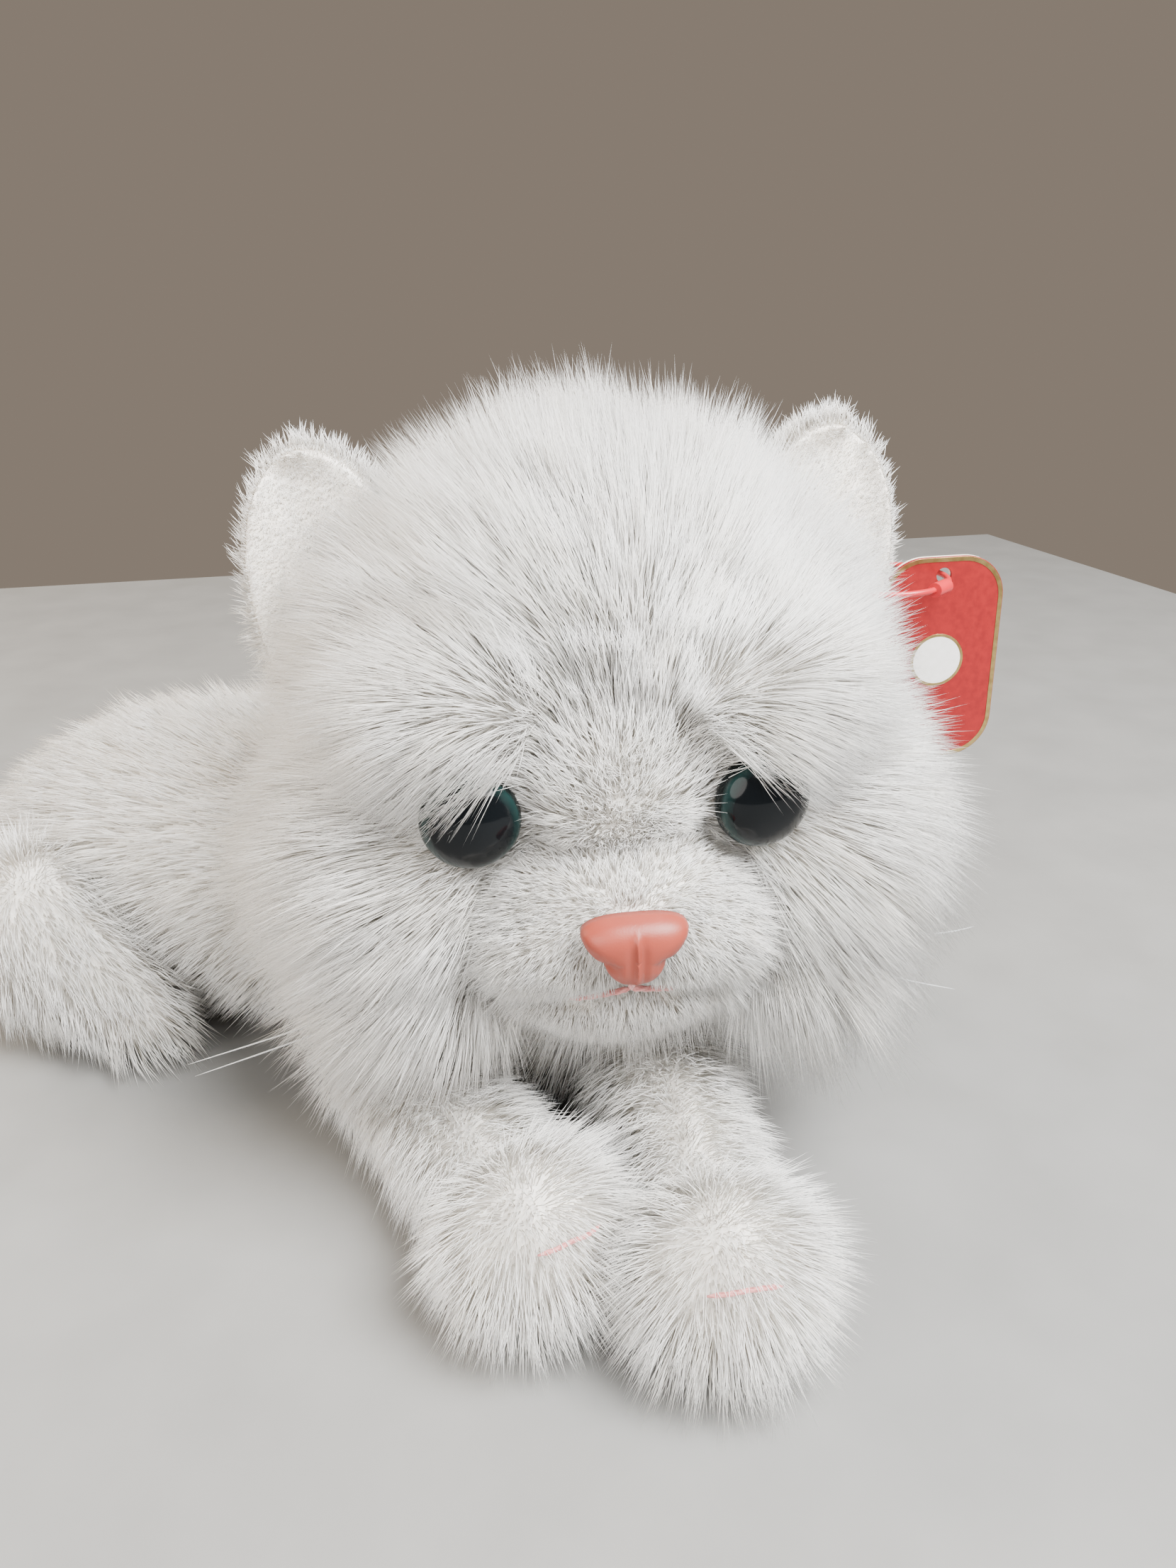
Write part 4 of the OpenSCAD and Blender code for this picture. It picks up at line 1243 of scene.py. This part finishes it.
def nose_shape(x, y):
    """Less than 1 inside the nose's outline: a wide upper part, and a smaller round part below it."""
    upper = np.abs(x / (8.9 + 0.42 * np.clip(y - 2.0, -4.3, 2.0))) ** 2.8 + np.abs((y - 1.8) / 4.6) ** 2.6
    lower = (x / 5.4) ** 2 + ((y + 2.2) / 5.2) ** 2
    return np.minimum(upper, lower)


def build_nose(rings=26, sides=120, depth=4.6):
    spins = np.linspace(0, 2 * math.pi, sides, endpoint=False)
    reach = np.zeros(sides)
    for r in np.arange(0.5, 12, 0.03):
        inside = nose_shape(r * np.cos(spins), r * np.sin(spins)) < 1
        reach[inside] = r
    for _ in range(2):
        reach = (np.roll(reach, 1) + 2 * reach + np.roll(reach, -1)) / 4
    points = []
    for i in range(1, rings + 1):
        share = i / rings
        x, y = reach * share * np.cos(spins), reach * share * np.sin(spins)
        z = depth * (1 - share**3.2) ** 0.55
        line = 0.45 * np.exp(-((x / 0.38) ** 2)) * smooth_step(6.0, 3.5, y) * smooth_step(-6.5, -4.5, y)
        groove = -0.35 * np.exp(-(((np.abs(x) - 1.1) / 0.7) ** 2)) * smooth_step(5.5, 1, y)
        nostril = -1.5 * np.exp(-(((np.abs(x) - 5.0) / 1.25) ** 2) - ((y + 1.9) / 1.3) ** 2)
        shade = 1 - share**6
        points.append(np.stack([x, y, z + (line + groove + nostril) * shade], 1))
    points.append(np.stack([reach * np.cos(spins) * 0.985, reach * np.sin(spins) * 0.985, np.full(sides, -1.5)], 1))
    top = np.array([[0, 0, depth + 0.1]])
    rows = len(points)
    flat = np.vstack([top, *points, [[0, 0, -1.5]]])
    last = len(flat) - 1
    faces = [(0, 1 + k, 1 + (k + 1) % sides) for k in range(sides)]
    for i in range(rows - 1):
        row = 1 + i * sides
        faces += [
            (row + k, row + sides + k, row + sides + (k + 1) % sides, row + (k + 1) % sides) for k in range(sides)
        ]
    row = 1 + (rows - 1) * sides
    faces += [(last, row + (k + 1) % sides, row + k) for k in range(sides)]
    tilt = np.array(Matrix.Rotation(math.radians(8), 3, "X"))
    tilted = flat[:, [0, 2, 1]] @ tilt
    return from_head(tilted + np.array([0, NOSE_PLATE, NOSE[2]])), faces


nose_piece = make_object("nose_moulding", *build_nose())
nose_piece.data.materials.append(coral)
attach(nose_piece, "head")
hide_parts("nose", "nose_washer")

# %% [markdown]
# ## Thread, whiskers and the tag
#
# A thread is a thin tube with the slanting ridges of its twisted strands, and its colour is painted darker in the
# grooves and lighter on the ridges: painted shade and painted light. The whiskers taper from root to tip.
# The tag's leaves are flat outlines given a thickness and a small bevel, because card has a crisp edge.

# %% Threads
thread_finish, thread_tree, thread_shader = new_finish("pink_thread", Roughness=0.6, Sheen_Weight=0.3)
# Painted shade and light: the thread's colour is darker in the grooves between its strands and lighter on their ridges.
strand_shade_factor = attribute(thread_tree, "strand_shade")
thread_tree.links.new(
    ramp(thread_tree, strand_shade_factor, [(0.0, (0.34, 0.09, 0.09)), (0.5, (0.62, 0.22, 0.21)), (1.0, (0.74, 0.34, 0.32))]),
    thread_shader.inputs["Base Color"],
)


def tapered(path, radii, sides=10, twist=0.0):
    """A closed tube along a path with a radius for each place, and the strand height of each vertex."""
    path = np.asarray(path, float)
    ahead = unit(np.gradient(path, axis=0))
    side = unit(np.cross(ahead, np.array([0.3, 0.2, 1.0])))
    up = np.cross(ahead, side)
    gone = np.concatenate([[0], np.cumsum(np.linalg.norm(np.diff(path, axis=0), axis=1))])
    spins = np.linspace(0, 2 * math.pi, sides, endpoint=False)
    rows, strands = [], []
    for i, place in enumerate(path):
        ridge = np.cos(3 * spins + twist * gone[i]) if twist else np.zeros(sides)
        r = radii[i] * (1 + 0.16 * ridge)
        rows.append(place + np.outer(np.cos(spins) * r, side[i]) + np.outer(np.sin(spins) * r, up[i]))
        strands.append(0.5 + 0.5 * ridge)
    points = np.vstack([path[:1], *rows, path[-1:]])
    strands = np.concatenate([[0.5], *strands, [0.5]])
    last = len(points) - 1
    faces = [(0, 1 + (k + 1) % sides, 1 + k) for k in range(sides)]
    for i in range(len(rows) - 1):
        row = 1 + i * sides
        faces += [
            (row + k, row + (k + 1) % sides, row + sides + (k + 1) % sides, row + sides + k) for k in range(sides)
        ]
    row = 1 + (len(rows) - 1) * sides
    faces += [(last, row + k, row + (k + 1) % sides) for k in range(sides)]
    return points, faces, strands


def joined(parts):
    """Several (vertices, faces, values) as one."""
    points, faces, values, base = [], [], [], 0
    for part_points, part_faces, part_values in parts:
        points.append(part_points)
        faces += [tuple(i + base for i in face) for face in part_faces]
        values.append(part_values)
        base += len(part_points)
    return np.vstack(points), faces, np.concatenate(values)


def sew(name, paths, body, *replaced, radius=0.7):
    parts = []
    for path in paths:
        line = smooth_path(path, steps=max(4, int(24 / len(path))))
        ends = np.minimum(1, 0.35 + np.minimum(np.arange(len(line)), np.arange(len(line))[::-1]) / 3)
        parts.append(tapered(line, radius * ends, twist=2.6))
    points, faces, strands = joined(parts)
    made = make_object(name, points, faces)
    # The strand height drives the painted shade in the grooves and the painted light on the ridges.
    set_attribute(made.data, "strand_shade", strands)
    made.data.materials.append(thread_finish)
    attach(made, body)
    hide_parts(*replaced)
    return made


sew("mouth_thread", mouth_paths, "head", "mouth_stitch", radius=0.55)
for side in ("left", "right"):
    sew(f"paw_thread_{side}", [paw_paths[side]], f"front_leg_{side}", f"paw_stitch_{side}", radius=0.45)

# %% The whiskers
# Each whisker as places across, forward and up from the head's middle, from the muzzle outwards.
WHISKERS = {
    "left": [
        [(18, 44, -24), (34, 38, -31), (50, 36, -38), (60, 35, -42), (68, 34, -45)],
        [(17, 43, -21), (33, 38, -26), (52, 34, -31), (66, 30, -34), (74, 27, -35)],
    ],
    "right": [
        [(-18, 44, -24), (-34, 36, -31), (-49, 31, -38), (-66, 27, -46), (-88, 22, -55)],
        [(-17, 43, -27), (-34, 35, -35), (-50, 30, -41.5), (-67, 26, -49.5), (-87, 22, -58)],
    ],
}
for side, lines in WHISKERS.items():
    parts = []
    for line in lines:
        path = smooth_path(from_head(line), steps=8)
        share = np.linspace(0, 1, len(path))
        parts.append(tapered(path, 0.36 * (1 - share) ** 0.7 + 0.05, sides=8))
    points, faces, _ = joined(parts)
    whiskers = make_object(f"whisker_pair_{side}", points, faces)
    whiskers.data.materials.append(clear_thread)
    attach(whiskers, "head")
    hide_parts(f"whiskers_{side}")

# %% The tag
# Two card leaves on one loop. The front is printed red with a gold foil edge and a blank round panel.
card_finishes = {}
for name, colour, dark, rough in (
    ("red_card", (0.27, 0.006, 0.008), (0.21, 0.004, 0.006), 0.42),
    ("plain_card", (0.84, 0.80, 0.72), (0.77, 0.72, 0.62), 0.75),
    ("white_print", (0.86, 0.85, 0.83), (0.80, 0.79, 0.76), 0.5),
):
    finish, tree, shader = new_finish(name, Roughness=rough)
    place = node(tree, "ShaderNodeTexCoord").outputs["Object"]
    fibres = node(tree, "ShaderNodeTexNoise", {"Vector": place, "Scale": 700.0, "Detail": 6.0}).outputs["Fac"]
    tree.links.new(ramp(tree, fibres, [(0.35, dark), (0.65, colour)]), shader.inputs["Base Color"])
    bump_node = node(tree, "ShaderNodeBump", {"Height": fibres, "Strength": 0.15, "Distance": 0.0002})
    tree.links.new(bump_node.outputs["Normal"], shader.inputs["Normal"])
    card_finishes[name] = finish
foil, foil_tree, foil_shader = new_finish("gold_foil", Metallic=1.0, Roughness=0.32)
foil_place = node(foil_tree, "ShaderNodeTexCoord").outputs["Object"]
crinkle = node(foil_tree, "ShaderNodeTexNoise", {"Vector": foil_place, "Scale": 500.0, "Detail": 4.0})
foil_tree.links.new(
    ramp(foil_tree, crinkle.outputs["Fac"], [(0.3, (0.40, 0.27, 0.10)), (0.7, (0.62, 0.47, 0.20))]),
    foil_shader.inputs["Base Color"],
)
foil_bump = node(foil_tree, "ShaderNodeBump", {"Height": crinkle.outputs["Fac"], "Strength": 0.3, "Distance": 0.0001})
foil_tree.links.new(foil_bump.outputs["Normal"], foil_shader.inputs["Normal"])

TAG_HOLE = to_head(joint_place("tag_swing"))
TAG_W, TAG_H, TAG_ROUND, TAG_LEAF = 28.0, 47.0, 9.5, 0.7
TAG_DROP = TAG_H / 2 - 4


def rounded(width, height, corner, steps=12):
    """A rounded rectangle as a loop of (x, y)."""
    loop = []
    for i, (sx, sy) in enumerate(((1, 1), (-1, 1), (-1, -1), (1, -1))):
        for j in range(steps + 1):
            a = math.pi / 2 * (i + j / steps)
            across_card = sx * (width / 2 - corner) + corner * math.cos(a)
            loop.append((across_card, sy * (height / 2 - corner) + corner * math.sin(a)))
    return loop


def card(name, loops, forward, thick, finish, bevel=0.12):
    """Flat card from an outline and holes, as a thin closed solid. The first loop is the outline."""
    curve = bpy.data.curves.new(name, "CURVE")
    curve.dimensions = "2D"
    curve.fill_mode = "BOTH"
    for loop in loops:
        spline = curve.splines.new("POLY")
        spline.points.add(len(loop) - 1)
        for point, (x, y) in zip(spline.points, loop):
            point.co = (x * MM, y * MM, 0, 1)
        spline.use_cyclic_u = True
    curve.extrude = (thick / 2 - bevel) * MM
    curve.bevel_depth = bevel * MM
    curve.bevel_resolution = 2
    holder = bpy.data.objects.new(name, curve)
    bpy.context.scene.collection.objects.link(holder)
    bpy.context.view_layer.update()
    mesh = bpy.data.meshes.new_from_object(holder.evaluated_get(bpy.context.evaluated_depsgraph_get()))
    bpy.data.objects.remove(holder)
    places = np.array([v.co for v in mesh.vertices]) / MM
    local = np.stack(
        [TAG_HOLE[0] + places[:, 0], forward + places[:, 2], TAG_HOLE[2] - TAG_DROP + places[:, 1]], 1
    )
    faces = [tuple(face.vertices) for face in mesh.polygons]
    made = make_object(name, *welded(from_head(local), faces), smooth=False)
    made.data.materials.append(finish)
    return made


def circle(x, y, radius, steps=28):
    turns = [2 * math.pi * i / steps for i in range(steps)]
    return [(x + radius * math.cos(turn), y + radius * math.sin(turn)) for turn in turns]


hole = circle(0, TAG_DROP, 1.8)
front_face = to_head(middle("tag_front"))[1]
back_face = to_head(middle("tag_back"))[1]
leaf_outline = [rounded(TAG_W, TAG_H, TAG_ROUND), hole]
front_leaf = card("tag_front_leaf", leaf_outline, front_face, TAG_LEAF, card_finishes["red_card"])
back_leaf = card("tag_back_leaf", leaf_outline, back_face, TAG_LEAF, card_finishes["plain_card"])
edge = card(
    "tag_foil_edge",
    [rounded(TAG_W - 0.1, TAG_H - 0.1, TAG_ROUND), rounded(TAG_W - 1.9, TAG_H - 1.9, TAG_ROUND - 0.9)],
    front_face + TAG_LEAF / 2 + 0.03,
    0.12,
    foil,
    0.03,
)
panel = card(
    "tag_panel",
    [rounded(11, 11, 5.49)],
    front_face + TAG_LEAF / 2 + 0.03,
    0.12,
    card_finishes["white_print"],
    0.03,
)
panel_edge = card(
    "tag_panel_edge",
    [rounded(12.2, 12.2, 6.09), rounded(11, 11, 5.49)],
    front_face + TAG_LEAF / 2 + 0.03,
    0.14,
    foil,
    0.03,
)
for piece, slot_name in (
    (front_leaf, "red_card"),
    (back_leaf, "plain_card"),
    (edge, "red_card"),
    (panel, "red_card"),
    (panel_edge, "red_card"),
):
    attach(piece, "tag")
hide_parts("tag_front")
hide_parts("tag_back")
fastener = nodes["tag_fastener"]
fastener.data.materials.clear()
fastener.data.materials.append(red_plastic)

# %% [markdown]
# ## The cloth pieces join the frame
#
# Each skin stands for the CAD panels and the filling of its body. The needle that the fibres grew from isn't
# part of the cat, so it goes.

# %% Skins and bodies
STANDS_FOR = {
    torso_skin: ("torso", ("back_panel_left", "back_panel_right", "belly_panel", "torso_filling")),
    neck_skin: ("neck", ("neck_ball",)),
    head_skin: (
        "head",
        ("crown_panel", "cheek_panel_left", "cheek_panel_right", "muzzle_panel", "chin_panel", "head_filling",
         "eye_left_post", "eye_left_washer", "eye_right_post", "eye_right_washer"),
    ),
    tail_skin: ("tail", ("tail_upper", "tail_under", "tail_filling")),
}
for side in ("left", "right"):
    STANDS_FOR[leg_skins[side]] = (
        f"front_leg_{side}", tuple(f"front_leg_{side}_{part}" for part in ("upper", "sole", "filling")))
    STANDS_FOR[hind_skins[side]] = (
        f"hind_leg_{side}", tuple(f"hind_leg_{side}_{part}" for part in ("upper", "sole", "filling")))
    STANDS_FOR[ear_parts[side]] = (f"ear_{side}", (f"ear_{side}_back", f"ear_{side}_lining"))
for skin, (body, replaced) in STANDS_FOR.items():
    ear_cloth = body.startswith("ear")
    skin.data.materials.clear()
    skin.data.materials.append(velour_finish if ear_cloth else cloth_finish)
    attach(skin, body)
    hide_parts(*replaced)
bpy.data.objects.remove(fibre)
print("fibres take", fibre_total, "triangles")

# %% [markdown]
# ## Camera, light and the shelf
#
# White pile shows its locks only when light comes from one side, so one large soft lamp does most of the work. A
# weaker one fills the shade, and a small warm one stands behind. The shelf is darker than the cat, because a white
# toy on a white floor loses its edge. The camera looks down at the face from close by.

# %% The shelf
shelf_finish, shelf_tree, shelf_shader = new_finish("pale_shelf", Roughness=0.55)
shelf_place = node(shelf_tree, "ShaderNodeTexCoord").outputs["Object"]
shelf_noise = node(shelf_tree, "ShaderNodeTexNoise", {"Vector": shelf_place, "Scale": 35.0, "Detail": 8.0})
shelf_tree.links.new(
    ramp(shelf_tree, shelf_noise.outputs["Fac"], [(0.3, (0.21, 0.21, 0.205)), (0.7, (0.24, 0.24, 0.235))]),
    shelf_shader.inputs["Base Color"],
)
bpy.ops.mesh.primitive_plane_add(size=1.1, location=(0, 0, 0))
shelf = bpy.context.object
shelf.name = "shelf"
shelf.data.materials.append(shelf_finish)

# %% The lights
world = bpy.data.worlds.new("studio")
bpy.context.scene.world = world
world.use_nodes = True
world.node_tree.nodes["Background"].inputs["Color"].default_value = (0.50, 0.41, 0.33, 1)
world.node_tree.nodes["Background"].inputs["Strength"].default_value = 0.5


def area_light(name, place, aim, size, watts, colour):
    lamp = bpy.data.lights.new(name, "AREA")
    lamp.shape = "DISK"
    lamp.size = size
    lamp.energy = watts
    lamp.color = colour
    made = bpy.data.objects.new(name, lamp)
    bpy.context.scene.collection.objects.link(made)
    made.location = place
    made.rotation_euler = (Vector(aim) - Vector(place)).to_track_quat("-Z", "Y").to_euler()
    return made


middle_of_cat = (0.01, -0.03, 0.08)
area_light("window", (0.42, -0.62, 1.00), middle_of_cat, 0.8, 74.0, (1.0, 0.995, 0.98))
area_light("fill", (-0.75, -0.75, 0.5), middle_of_cat, 0.9, 14.0, (1.0, 0.97, 0.93))
area_light("lamp", (-0.8, 0.5, 0.5), middle_of_cat, 0.5, 12.0, (1.0, 0.82, 0.62))

# %% The camera
LOOK_ROUND, LOOK_DOWN = math.radians(-15), math.radians(23)
camera = bpy.data.cameras.new("camera")
camera.sensor_fit = "VERTICAL"
camera.sensor_height = 36.0
camera.lens = 26.0
camera.clip_start = 0.01
viewer = bpy.data.objects.new("camera", camera)
bpy.context.scene.collection.objects.link(viewer)
viewer.location = (-0.0107, -0.2715, 0.175)
viewer.rotation_euler = (math.pi / 2 - LOOK_DOWN, 0, LOOK_ROUND)
bpy.context.scene.camera = viewer
